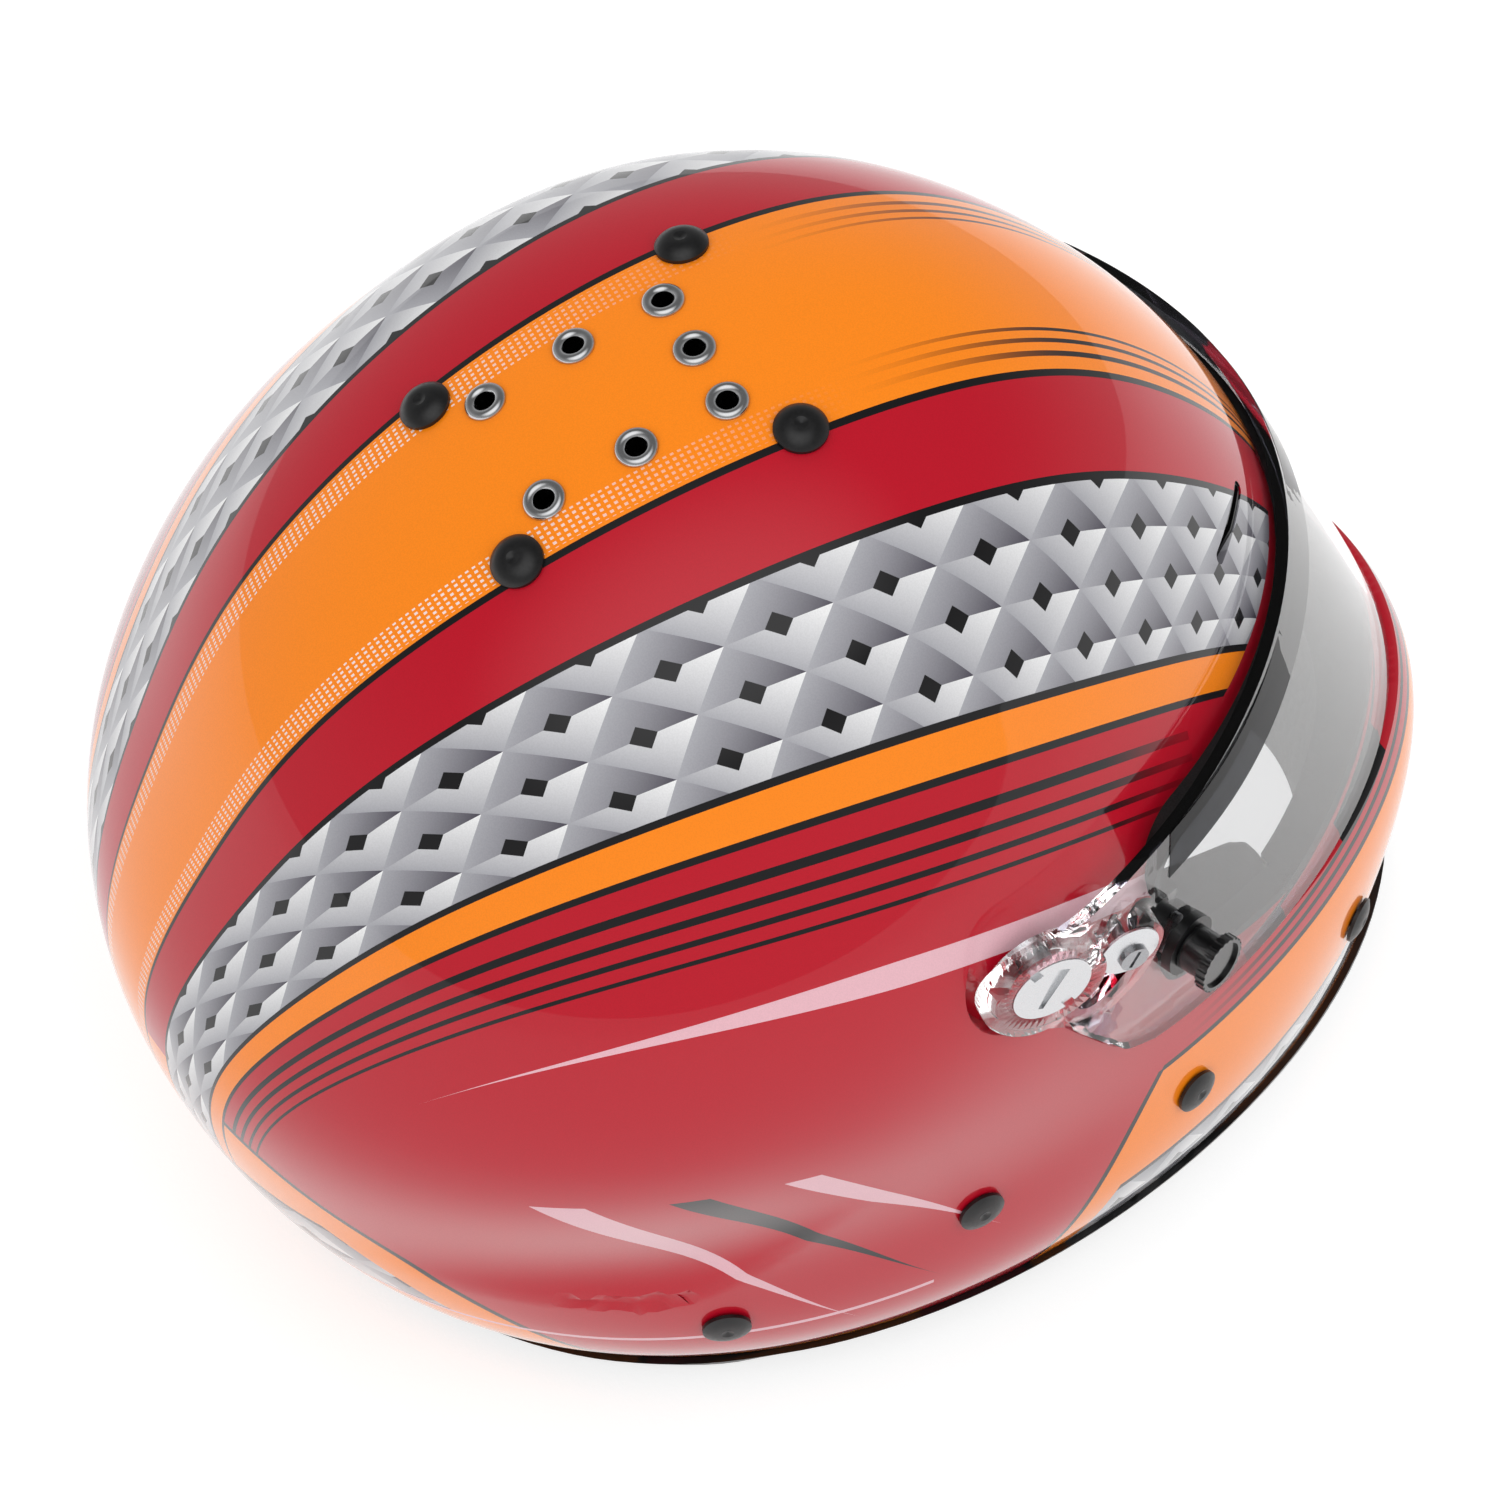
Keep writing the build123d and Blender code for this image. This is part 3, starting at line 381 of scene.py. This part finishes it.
# Livery: straight lengthwise bands, plain slanted bars and a lozenge pattern
livery = {
    "red": "#BC0B24", "orange": "#FF8A14", "black": "#121113", "white": "#F4F4F4",
    "silver": "#A9A9AF", "charcoal": "#47434F", "pink": "#E9B6C0",
    "cell": 25.0, "stud": 0.26, "cellFoot": 18,
    "bands": {"centre": 33.0, "redTo": 60.0, "chequerTo": 106.0, "edgeTo": 118.0, "line": 2.0,
              "topZ": 175, "frontY": -20, "footZ": 70},
    "pins": {"rows": [(127.0, 2.6), (133.5, 2.2), (139.5, 1.8), (145.0, 1.4)], "fade": (120, 200),
             "frontY": -60, "footZ": 90},
    "stripe": {"at": 166, "grows": (60, 170), "end": 420, "thins": (0, 130), "half": 4.2},
    "bars": {"each": [(44, 80, 5.6, "pink"), (16, 72, 4.6, "black"), (-10, 62, 4.4, "pink")],
             "lean": 0.9, "leanShift": 40, "topZ": 118, "footZ": 20, "frontY": -20},
    "chin": {"way": 1, "fromZ": 60, "lean": 0.62, "shift": 34, "topZ": 80, "inset": 12, "row": (18, 40)},
    "wedge": {"way": -1, "fromZ": 30, "lean": 0.95, "shift": 100, "topZ": 104, "inset": 14, "row": (46, 68)},
    "edgeLine": 2.2, "rowLine": 2.0, "rowGap": 1,
    "chinPins": {"at": (85, 89, 93), "width": 1.8, "fade": (0, 40)},
    "skirt": {"frontY": 20, "pale": (44, 45.4), "foot": (18, 24), "lines": (17.4, 24.6), "line": 1.4},
    "centrePins": {"rows": [(27.5, 1.6), (23.6, 1.3), (20.2, 1.0)], "end": 240, "fade": (0, 60)},
    "dots": {"pitch": 1.6, "share": 0.48, "rows": (23, 31), "fade": (235, 330), "strength": 0.8},
    "coatRough": 0.025, "coatBend": 1.4, "baseGloss": 0.08, "flake": 0.35, "flakeStrength": 0.06,
}


def paintMaterial():
    # lacquer over flat colours: sharp reflections on top, an even matt colour under them
    material, tree, shader, place = newMaterial("clear-coated paint")
    lateral, along, around = (
        Field(tree, addNode(tree, "ShaderNodeAttribute", attribute_name=name).outputs["Fac"])
        for name in ("lateral", "along", "around"))
    split = addNode(tree, "ShaderNodeSeparateXYZ", {0: place})
    y, z = Field(tree, split.outputs["Y"]) * metre, Field(tree, split.outputs["Z"]) * metre
    color = {name: hexColor(value) for name, value in livery.items() if isinstance(value, str)}
    cell, bands = livery["cell"], livery["bands"]

    def lozenges(u, v):  # two crossing ramps, with a dark stud where both are half way
        a, b = (u + v).part(), (u - v).part()
        light = mixColors(tree, a, color["white"], color["silver"])
        dark = mixColors(tree, b, color["charcoal"], color["silver"])
        stud = a.near(0.5, livery["stud"]) * b.near(0.5, livery["stud"])
        return mixColors(tree, stud, mixColors(tree, a > b, dark, light), color["black"])

    bandPattern = lozenges(along / cell, (lateral - bands["redTo"]) / cell)
    rowPattern = lozenges(around / cell, (z - livery["cellFoot"]) / cell)
    coats = []  # where each coat goes and its colour, from the lowest up

    # flank pinstripes that fade in towards the rear
    pins = livery["pins"]
    strength = along.ramp(*pins["fade"]) * (y > pins["frontY"]) * (z > pins["footZ"])
    coats += [(lateral.near(at, width) * strength, color["black"]) for at, width in pins["rows"]]
    # long tapered stripe under the pinstripes
    stripe = livery["stripe"]
    taper = along.ramp(*stripe["grows"]) * (along * -1 + stripe["end"]).ramp(*stripe["thins"])
    coats.append(((lateral - stripe["at"]).size() < taper * stripe["half"], color["pink"]))
    # slanted bars on the flank, each thinning out downwards
    bars = livery["bars"]
    for start, length, half, tone in bars["each"]:
        slant = y - (z * bars["lean"] - bars["leanShift"]) - start
        thin = (z - (bars["topZ"] - length)).ramp(0, length) * (z < bars["topZ"])
        where = (slant.size() < thin * half) * (y > bars["frontY"]) * (z > bars["footZ"])
        coats.append((where, color[tone]))
    # orange chin and rear wedge, each with a straight black edge and a row of lozenges
    for area in (livery["chin"], livery["wedge"]):
        edge = y * area["way"] + (z - area["fromZ"]) * area["lean"] + area["shift"]
        below, inner = z < area["topZ"], edge < -area["inset"]
        low, high = area["row"]
        gap, width = livery["rowGap"], livery["rowLine"]
        lines = z.near(low - gap, width) + z.near(high + gap, width)
        coats += [((edge < 0) * below, color["orange"]),
                  (edge.near(0, livery["edgeLine"]) * below, color["black"]),
                  (inner * z.between(low, high), rowPattern),
                  (inner * lines, color["black"])]
    # black lines over the chin that fade in from its edge
    chin, chinPins = livery["chin"], livery["chinPins"]
    edge = y + (z - chin["fromZ"]) * chin["lean"] + chin["shift"]
    coats.append((z.near(chin["topZ"], livery["rowLine"]) * (edge < 0), color["black"]))
    strength = (edge * -1).ramp(*chinPins["fade"])
    coats += [(z.near(at, chinPins["width"]) * strength, color["black"]) for at in chinPins["at"]]
    # skirt at the rear: pale line and orange foot
    skirt = livery["skirt"]
    rearOnly = y > skirt["frontY"]
    lowLine, highLine = (z.near(at, skirt["line"]) for at in skirt["lines"])
    coats += [(rearOnly * z.between(*skirt["pale"]), color["pink"]),
              (rearOnly * z.between(*skirt["foot"]), color["orange"]),
              (rearOnly * (lowLine + highLine), color["black"])]
    # bands from the midline outwards
    crownSide = (z > bands["topZ"]).most((y > bands["frontY"]) * (z > bands["footZ"]))
    coats += [(lateral.between(bands["chequerTo"], bands["edgeTo"]) * crownSide, color["orange"]),
              (lateral.between(bands["redTo"], bands["chequerTo"]) * crownSide, bandPattern),
              (lateral.between(-1, bands["centre"]) * crownSide, color["orange"])]
    coats += [(lateral.near(bands[name], bands["line"]) * crownSide, color["black"])
              for name in ("centre", "redTo", "chequerTo", "edgeTo")]
    # centre band: pinstripes that fade out towards the crown, and a pale dotted sheen along the rear
    centrePins = livery["centrePins"]
    strength = (along * -1 + centrePins["end"]).ramp(*centrePins["fade"])
    coats += [(lateral.near(at, width) * strength * crownSide, color["black"])
              for at, width in centrePins["rows"]]
    dots = livery["dots"]
    spot = (along / dots["pitch"]).part().near(0.5, dots["share"])
    spot = spot * (lateral / dots["pitch"]).part().near(0.5, dots["share"])
    sheen = lateral.between(*dots["rows"]) * along.ramp(*dots["fade"]) * spot * dots["strength"]
    coats.append((sheen * crownSide, color["white"]))
    flake = Field(tree, grain(tree, place, livery["flake"], 2.0))
    coats.append((flake.ramp(0.35, 0.65) * livery["flakeStrength"], color["black"]))

    paint = color["red"]
    for where, fill in coats:
        paint = mixColors(tree, where, paint, fill)
    tree.links.new(paint, shader.inputs["Base Color"])
    tree.links.new((flake * 0.1 + 0.32).socket, shader.inputs["Roughness"])
    shader.inputs["Coat Weight"].default_value = 1.0
    shader.inputs["Coat Roughness"].default_value = livery["coatRough"]
    shader.inputs["Coat IOR"].default_value = livery["coatBend"]
    shader.inputs["Specular IOR Level"].default_value = livery["baseGloss"]
    return material


shellMesh = refinedCopy("shell", shell["longestEdge"])
outer = snapToSkins(shellMesh, [(onShell, 1)], shell["nearSkin"])
spots, faces = meshArrays(shellMesh), faceArrays(shellMesh)
# lateral: distance from the midline as it would be at the crown; along: arc from the front over the
# crown; around: arc from the middle of the front, in plan
flow = {"middleY": -7, "halfLength": 175, "narrowing": 0.30, "spread": 60, "arcZ": 95, "arcRadius": 150}
ahead = flow["middleY"] - spots[:, 1]
narrowing = 1 - flow["narrowing"] * (ahead / flow["halfLength"])**2
atCrown, here = shell["height"] + flow["spread"], spots[:, 2] + flow["spread"]
lateral = np.abs(spots[:, 0]) / narrowing * atCrown / here
along = np.arctan2(spots[:, 2] - flow["arcZ"], ahead) % (2 * math.pi) * flow["arcRadius"]
around = np.arctan2(np.abs(spots[:, 0]), ahead) * flow["arcRadius"]
for name, values in (("lateral", lateral), ("along", along), ("around", around)):
    shellMesh.attributes.new(name, "FLOAT", "POINT").data.foreach_set("value", values.astype(np.float32))
inside = (faceNormals(spots, faces) * onShell(spots[faces].mean(1))[1]).sum(1) < -0.3
shellMesh.polygons.foreach_set("material_index", inside.astype(np.int32))
# cured cloth and resin: dull, dark and uneven
laminate = solidMaterial("black resin laminate", "#1B1B1D", 0.55, grainMm=1.8, depthMm=0.12, spread=0.3)
addPiece("paintedShell", shellMesh, [paintMaterial(), laminate], "shell", ["shell"])
print("shell", len(faces), "triangles,", int(outer.sum()), "on the formula surface")

# Visor sheet: faces on neither skin are cut edges, which gather a violet tint
visorMesh = refinedCopy("visor", visor["longestEdge"])


def nearPivot(points):  # the bosses, slots and islands there are flat, and keep their CAD shape
    return np.hypot(points[:, 1] - visor["pivot"][0], points[:, 2] - visor["pivot"][1]) < visor["bossReach"]


visorSkins = [(onVisor, 1), (lambda points: onVisor(points, -visor["wall"]), -1)]
onSkins = snapToSkins(visorMesh, visorSkins, visor["nearSkin"], nearPivot)
atPivot = nearPivot(meshArrays(visorMesh)[faceArrays(visorMesh)].mean(1))
visorMesh.polygons.foreach_set("material_index", (~onSkins & ~atPivot).astype(np.int32))


def clearMaterial(name, tint, rough, bend, gloss=0.0):  # a faint haze varies the roughness
    material, tree, shader, place = newMaterial(name)
    haze = Field(tree, grain(tree, place, 30.0, 1.0))
    shader.inputs["Base Color"].default_value = hexColor(tint)
    shader.inputs["Transmission Weight"].default_value = 1.0
    shader.inputs["IOR"].default_value = bend
    shader.inputs["Coat Weight"].default_value = gloss
    shader.inputs["Coat Roughness"].default_value = 0.02
    tree.links.new((haze * 0.02 + rough).socket, shader.inputs["Roughness"])
    return material


# low bends, because a thin sheet hardly shifts what is behind it; the hard coat gives the reflections
polycarbonate = clearMaterial("hard-coated polycarbonate", "#F4F5F6", 0.0, 1.12, 0.8)
cutEdge = clearMaterial("cut polycarbonate edge", "#CFC6E0", 0.10, 1.15, 0.4)
addPiece("visorSheet", visorMesh, [polycarbonate, cutEdge], "visor", ["visor"])
print("visor", len(visorMesh.polygons), "triangles")

# Soft pieces: welded, rounded copies of the CAD pads
softPieces = {
    "crown_pad": {"voxel": 2.6, "smooth": 14, "fill": 0.8},
    "cheek_pad_right": {"voxel": 1.8, "smooth": 10, "fill": 0.9},
    "cheek_pad_left": {"voxel": 1.8, "smooth": 10, "fill": 0.9},
    "neck_roll": {"voxel": 2.2, "smooth": 12, "fill": 0.9},
}
padLongestEdge = 12.0


def fabricMaterial(name, color, threadMm, depthMm):  # ribs one thread apart, with a finer fuzz between them
    material, tree, shader, place = newMaterial(name)
    # a wave texture of scale 1 repeats every 0.3142 m
    wave = {"Vector": place, "Scale": 314.2 / threadMm, "Distortion": 1.5, "Detail": 2.0}
    ribs = Field(tree, addNode(tree, "ShaderNodeTexWave", wave, bands_direction="Z").outputs["Fac"])
    fuzz = Field(tree, grain(tree, place, threadMm * 0.7))
    shade = mixColors(tree, (ribs * 0.5 + fuzz * 0.5).ramp(0.3, 0.7), dimmed(color, 0.55), hexColor(color))
    tree.links.new(shade, shader.inputs["Base Color"])
    shader.inputs["Roughness"].default_value = 0.92
    shader.inputs["Sheen Weight"].default_value = 0.35
    bump(tree, shader, (ribs + fuzz).socket, depthMm)
    return material


knit = fabricMaterial("brushed charcoal knit", "#2B2B2E", 1.2, 0.12)  # a soft nap, with no highlight
for node, settings in softPieces.items():
    mesh = refinedCopy(node, padLongestEdge)
    piece = addPiece(node + "_cover", mesh, knit, "shell", [node])
    remesh = piece.modifiers.new("even faces", "REMESH")
    remesh.mode = "VOXEL"
    remesh.voxel_size = settings["voxel"] / metre
    remesh.use_smooth_shade = True
    smooth = piece.modifiers.new("soft edges", "SMOOTH")
    smooth.factor, smooth.iterations = 0.5, settings["smooth"]
print("pads covered")

# Webbing straps, with rows of lock stitches through the folded ends
straps = {
    "thread": 1.0, "longestEdge": 6.0, "stitchLength": 2.4, "stitchPitch": 3.6, "stitchWidth": 0.55,
    "stitchShoulder": 0.6, "face": 63.0, "middleY": 29.05, "halfWidth": 9.4, "low": 30.0, "high": 58.0,
}
webbing = fabricMaterial("black polyester webbing", "#151517", straps["thread"], 0.15)  # tight, flat ribs
for side in ("right", "left"):
    node = "chin_strap_" + side
    mesh = refinedCopy(node, straps["longestEdge"])
    addPiece("strapWebbing_" + side, mesh, webbing, "shell", [node])


def threadRow(start, end, out):  # short rounded stitches, half sunk, from start to end
    start, end, out = (np.array(v, float) for v in (start, end, out))
    way = (end - start) / np.linalg.norm(end - start)
    count = int(np.linalg.norm(end - start) / straps["stitchPitch"])
    side = np.cross(out, way) * straps["stitchWidth"] / 2
    half, rise = way * straps["stitchLength"] / 2, out * straps["stitchWidth"] / 2
    shoulder = half * straps["stitchShoulder"]
    shape = np.array([-half, half, -shoulder + side, shoulder + side, -shoulder - side, shoulder - side,
                      -shoulder + rise, shoulder + rise])
    sides = [(0, 2, 6), (0, 6, 4), (1, 7, 3), (1, 5, 7), (2, 3, 7), (2, 7, 6), (4, 6, 7), (4, 7, 5),
             (0, 4, 5), (0, 5, 1), (0, 1, 3), (0, 3, 2)]
    places = start + way * straps["stitchPitch"] * (np.arange(count)[:, None] + 0.5)
    points = (places[:, None] + shape).reshape(-1, 3)
    return points, [tuple(len(shape) * i + k for k in face) for i in range(count) for face in sides]


def joinedMesh(name, parts):
    points, faces = [], []
    for some, ends in parts:
        faces += [tuple(k + len(points) for k in face) for face in ends]
        points += [tuple(point / metre) for point in some]
    mesh = bpy.data.meshes.new(name)
    mesh.from_pydata(points, [], faces)
    build = bmesh.new()
    build.from_mesh(mesh)
    bmesh.ops.recalc_face_normals(build, faces=build.faces)
    build.to_mesh(mesh)
    build.free()
    mesh.shade_smooth()
    return mesh


thread = solidMaterial("bonded grey thread", "#55555A", 0.5, grainMm=0.4, depthMm=0.05)  # waxy, half gloss
for side, sign in (("right", -1), ("left", 1)):
    x, y, edge = sign * straps["face"], straps["middleY"], straps["halfWidth"]
    low, high, out = straps["low"], straps["high"], (-sign, 0, 0)
    corners = [(x, y - edge, low), (x, y - edge, high), (x, y + edge, high), (x, y + edge, low)]
    rows = [threadRow(a, b, out) for a, b in zip(corners, corners[1:] + corners[:1])]
    rows += [threadRow(corners[0], corners[2], out), threadRow(corners[1], corners[3], out)]
    addPiece("strapStitches_" + side, joinedMesh("strapStitches", rows), thread, "shell")

# Piping around the inner face of each cheek pad
piping = {
    "face": 61.3, "front": -92.0, "rear": 6.0, "low": 31.0, "high": 75.0, "corner": 12.0, "radius": 1.3,
    "sides": 10, "cornerStep": 15,
}


def pipingMesh(sign):  # a round tube carried along a rectangle with rounded corners
    turns = np.radians(np.arange(0, 91, piping["cornerStep"]))
    y0, y1, z0, z1, c = (piping[k] for k in ("front", "rear", "low", "high", "corner"))
    centres = ((y1 - c, z1 - c), (y0 + c, z1 - c), (y0 + c, z0 + c), (y1 - c, z0 + c))
    path = np.array([(y + c * math.cos(t + i * math.pi / 2), z + c * math.sin(t + i * math.pi / 2))
                     for i, (y, z) in enumerate(centres) for t in turns])
    ahead = np.roll(path, -1, 0) - np.roll(path, 1, 0)
    ahead /= np.linalg.norm(ahead, axis=1)[:, None]
    across = np.column_stack([ahead[:, 1], -ahead[:, 0]])
    count, sides = len(path), piping["sides"]
    angles = np.radians(np.arange(0, 360, 360 // sides))
    rings = np.zeros((count, sides, 3))
    rings[:, :, 0] = sign * piping["face"] + piping["radius"] * np.sin(angles)
    rings[:, :, 1:] = path[:, None] + across[:, None] * (piping["radius"] * np.cos(angles))[:, None]
    faces = [(sides * i + k, sides * i + (k + 1) % sides,
              sides * ((i + 1) % count) + (k + 1) % sides, sides * ((i + 1) % count) + k)
             for i in range(count) for k in range(sides)]
    return joinedMesh("piping", [(rings.reshape(-1, 3), faces)])


for side, sign in (("right", -1), ("left", 1)):
    addPiece("cheekPiping_" + side, pipingMesh(sign), webbing, "shell")
print("straps and piping sewn")

# Materials for the CAD pieces that are shown as they are
rubber = solidMaterial("black edge rubber", "#0C0C0D", 0.42, grainMm=1.2, depthMm=0.03)  # broad dull shine
nylon = solidMaterial("moulded black nylon", "#0D0D0E", 0.34, coat=0.15, grainMm=0.5)  # slight mould gloss
capPlastic = solidMaterial("satin black cap plastic", "#101011", 0.36, grainMm=0.8, depthMm=0.015)
knobPlastic = solidMaterial("glossy black knob plastic", "#0A0A0B", 0.22, coat=0.4, grainMm=0.5)
satinAluminium = solidMaterial("satin aluminium", "#D9DADC", 0.30, metallic=1.0, grainMm=0.35,
                               depthMm=0.004, spread=0.06)  # blasted before anodising, so soft and pale
plainSteel = solidMaterial("plain steel", "#A9AAAD", 0.30, metallic=1.0, grainMm=0.4, depthMm=0.004)
eyeletSteel = solidMaterial("polished eyelet steel", "#C9CACC", 0.14, metallic=1.0, grainMm=0.5,
                            depthMm=0.002, spread=0.05)  # tumbled bright after pressing
seamSeal = solidMaterial("soft black seal", "#0A0A0A", 0.7, grainMm=0.5, depthMm=0.03)  # nearly no shine
clearNylon = clearMaterial("natural clear nylon", "#F1ECEC", 0.05, 1.1, 0.3)
film = clearMaterial("grey tinted film", "#47484C", 0.02, 1.12)


def beadMaterial():  # moulded beads: raised cells, paler in the middle, with painted shade darkening the seams between them
    beadMm, depthMm = 3.2, 0.3
    material, tree, shader, place = newMaterial("charcoal bead foam")
    values = {"Vector": place, "Scale": metre / beadMm}
    beads = Field(tree, addNode(tree, "ShaderNodeTexVoronoi", values).outputs[0])
    # painted shade: each bead's colour darkens from its raised middle down into the seam
    tree.links.new(mixColors(tree, beads.ramp(0.1, 0.6), hexColor("#2C2C2F"), hexColor("#1A1A1C")),
                   shader.inputs["Base Color"])
    shader.inputs["Roughness"].default_value = 0.8
    bump(tree, shader, (beads * -1).socket, depthMm)
    return material


beadFoam = beadMaterial()
cadLooks = {
    "base_trim": rubber, "eyeport_seal": seamSeal, "lock_keeper": nylon, "sun_strip": film,
    "lock_collar": nylon, "lock_knob": knobPlastic, "lock_spindle": plainSteel, "lock_cam": plainSteel,
    "vent_grommets": eyeletSteel, "top_plugs": capPlastic, "side_plugs": capPlastic,
    "threaded_inserts": plainSteel, "brow_vents": nylon, "impact_liner": beadFoam, "chin_bar_foam": beadFoam,
    "strap_ring_inner": eyeletSteel, "strap_ring_outer": eyeletSteel, "strap_snap": eyeletSteel,
}
for side in ("right", "left"):
    cadLooks.update({f"pivot_bush_{side}": clearNylon, f"pivot_screw_{side}": satinAluminium,
                     f"pivot_nut_{side}": plainSteel, f"guide_washer_{side}": satinAluminium,
                     f"guide_sleeve_{side}": clearNylon, f"guide_screw_{side}": plainSteel,
                     f"guide_nut_{side}": plainSteel, f"strap_anchor_{side}": nylon})
for node, material in cadLooks.items():
    mesh = nodes[node].data
    mesh.materials.clear()
    mesh.materials.append(material)
print("materials set")

# Floor and light, in metres: the floor is white to the camera and in reflections, and keeps a soft shadow
studio = {
    "floor": "#F2F2F2", "shadowed": "#B8B8B8", "floorHalf": 6, "floorGlow": 0.68, "fill": 0.62,
    "gloss": (0.48, 0.18), "glossHeights": (0.1, 0.8), "aim": (0, 0, 0.12),
    "glow": {"from": (-0.35, 0.25, 0.90), "inner": 0.99, "outer": 0.72, "strength": 1.2},
}


def seenDirectly(tree):  # 1 for rays from the camera, a mirror or a clear sheet, and 1 for a mirror's alone
    path = addNode(tree, "ShaderNodeLightPath")
    camera, glossy = Field(tree, path.outputs["Is Camera Ray"]), Field(tree, path.outputs["Is Glossy Ray"])
    return camera.most(glossy).most(Field(tree, path.outputs["Is Transmission Ray"])), glossy


floorPaper, tree, shader, place = newMaterial("white studio paper")
direct, _ = seenDirectly(tree)
tree.links.new(mixColors(tree, direct, hexColor(studio["floor"]), hexColor(studio["shadowed"])),
               shader.inputs["Base Color"])
tree.links.new((direct * studio["floorGlow"]).socket, shader.inputs["Emission Strength"])
shader.inputs["Emission Color"].default_value = (1, 1, 1, 1)
shader.inputs["Roughness"].default_value = 0.95
shader.inputs["Specular IOR Level"].default_value = 0.0
bump(tree, shader, grain(tree, place, 2.0), 0.05)
half = studio["floorHalf"]
corners = [(-half, -half, 0), (half, -half, 0), (half, half, 0), (-half, half, 0)]
floorMesh = bpy.data.meshes.new("floor")
floorMesh.from_pydata(corners, [], [(0, 1, 2, 3)])
floorMesh.materials.append(floorPaper)
floor = bpy.data.objects.new("floor", floorMesh)
scene.collection.objects.link(floor)

# World: plain white to the eye, dimmer as fill light, and a soft glow from one side in the lacquer
world = bpy.data.worlds.new("studio")
scene.world = world
world.use_nodes = True
tree = world.node_tree
background = tree.nodes["Background"]
ray = addNode(tree, "ShaderNodeTexCoord").outputs["Generated"]
height = Field(tree, addNode(tree, "ShaderNodeSeparateXYZ", {0: ray}).outputs["Z"])
direct, glossy = seenDirectly(tree)
low, high = studio["gloss"]
glow = studio["glow"]
values = {0: ray, 1: Vector(glow["from"]).normalized()}
toGlow = Field(tree, addNode(tree, "ShaderNodeVectorMath", values, operation="DOT_PRODUCT").outputs["Value"])
softGlow = toGlow.ramp(glow["outer"], glow["inner"]) * glow["strength"]
mirrored = height.ramp(*studio["glossHeights"]) * (high - low) + low + softGlow
plain = direct + (direct * -1 + 1) * studio["fill"]
tree.links.new((glossy * mirrored + (glossy * -1 + 1) * plain).socket, background.inputs["Strength"])
background.inputs["Color"].default_value = (1, 1, 1, 1)

softboxes = {
    "key": {"at": (-1.2, -0.5, 1.7), "size": (1.9, 1.5), "power": 15},
    "rear": {"at": (-0.5, 1.7, 1.3), "size": (1.8, 1.2), "power": 8},
    "far": {"at": (1.7, -0.2, 1.4), "size": (1.6, 1.2), "power": 7},
}
for name, settings in softboxes.items():
    data = bpy.data.lights.new(name, "AREA")
    data.shape = "RECTANGLE"
    data.size, data.size_y = settings["size"]
    data.energy = settings["power"]
    lamp = bpy.data.objects.new(name, data)
    scene.collection.objects.link(lamp)
    lamp.location = settings["at"]
    lamp.visible_glossy = False  # the world's soft glow is what shows in the lacquer
    toAim = Vector(studio["aim"]) - Vector(settings["at"])
    lamp.rotation_euler = toAim.to_track_quat("-Z", "Y").to_euler()
print("studio ready")
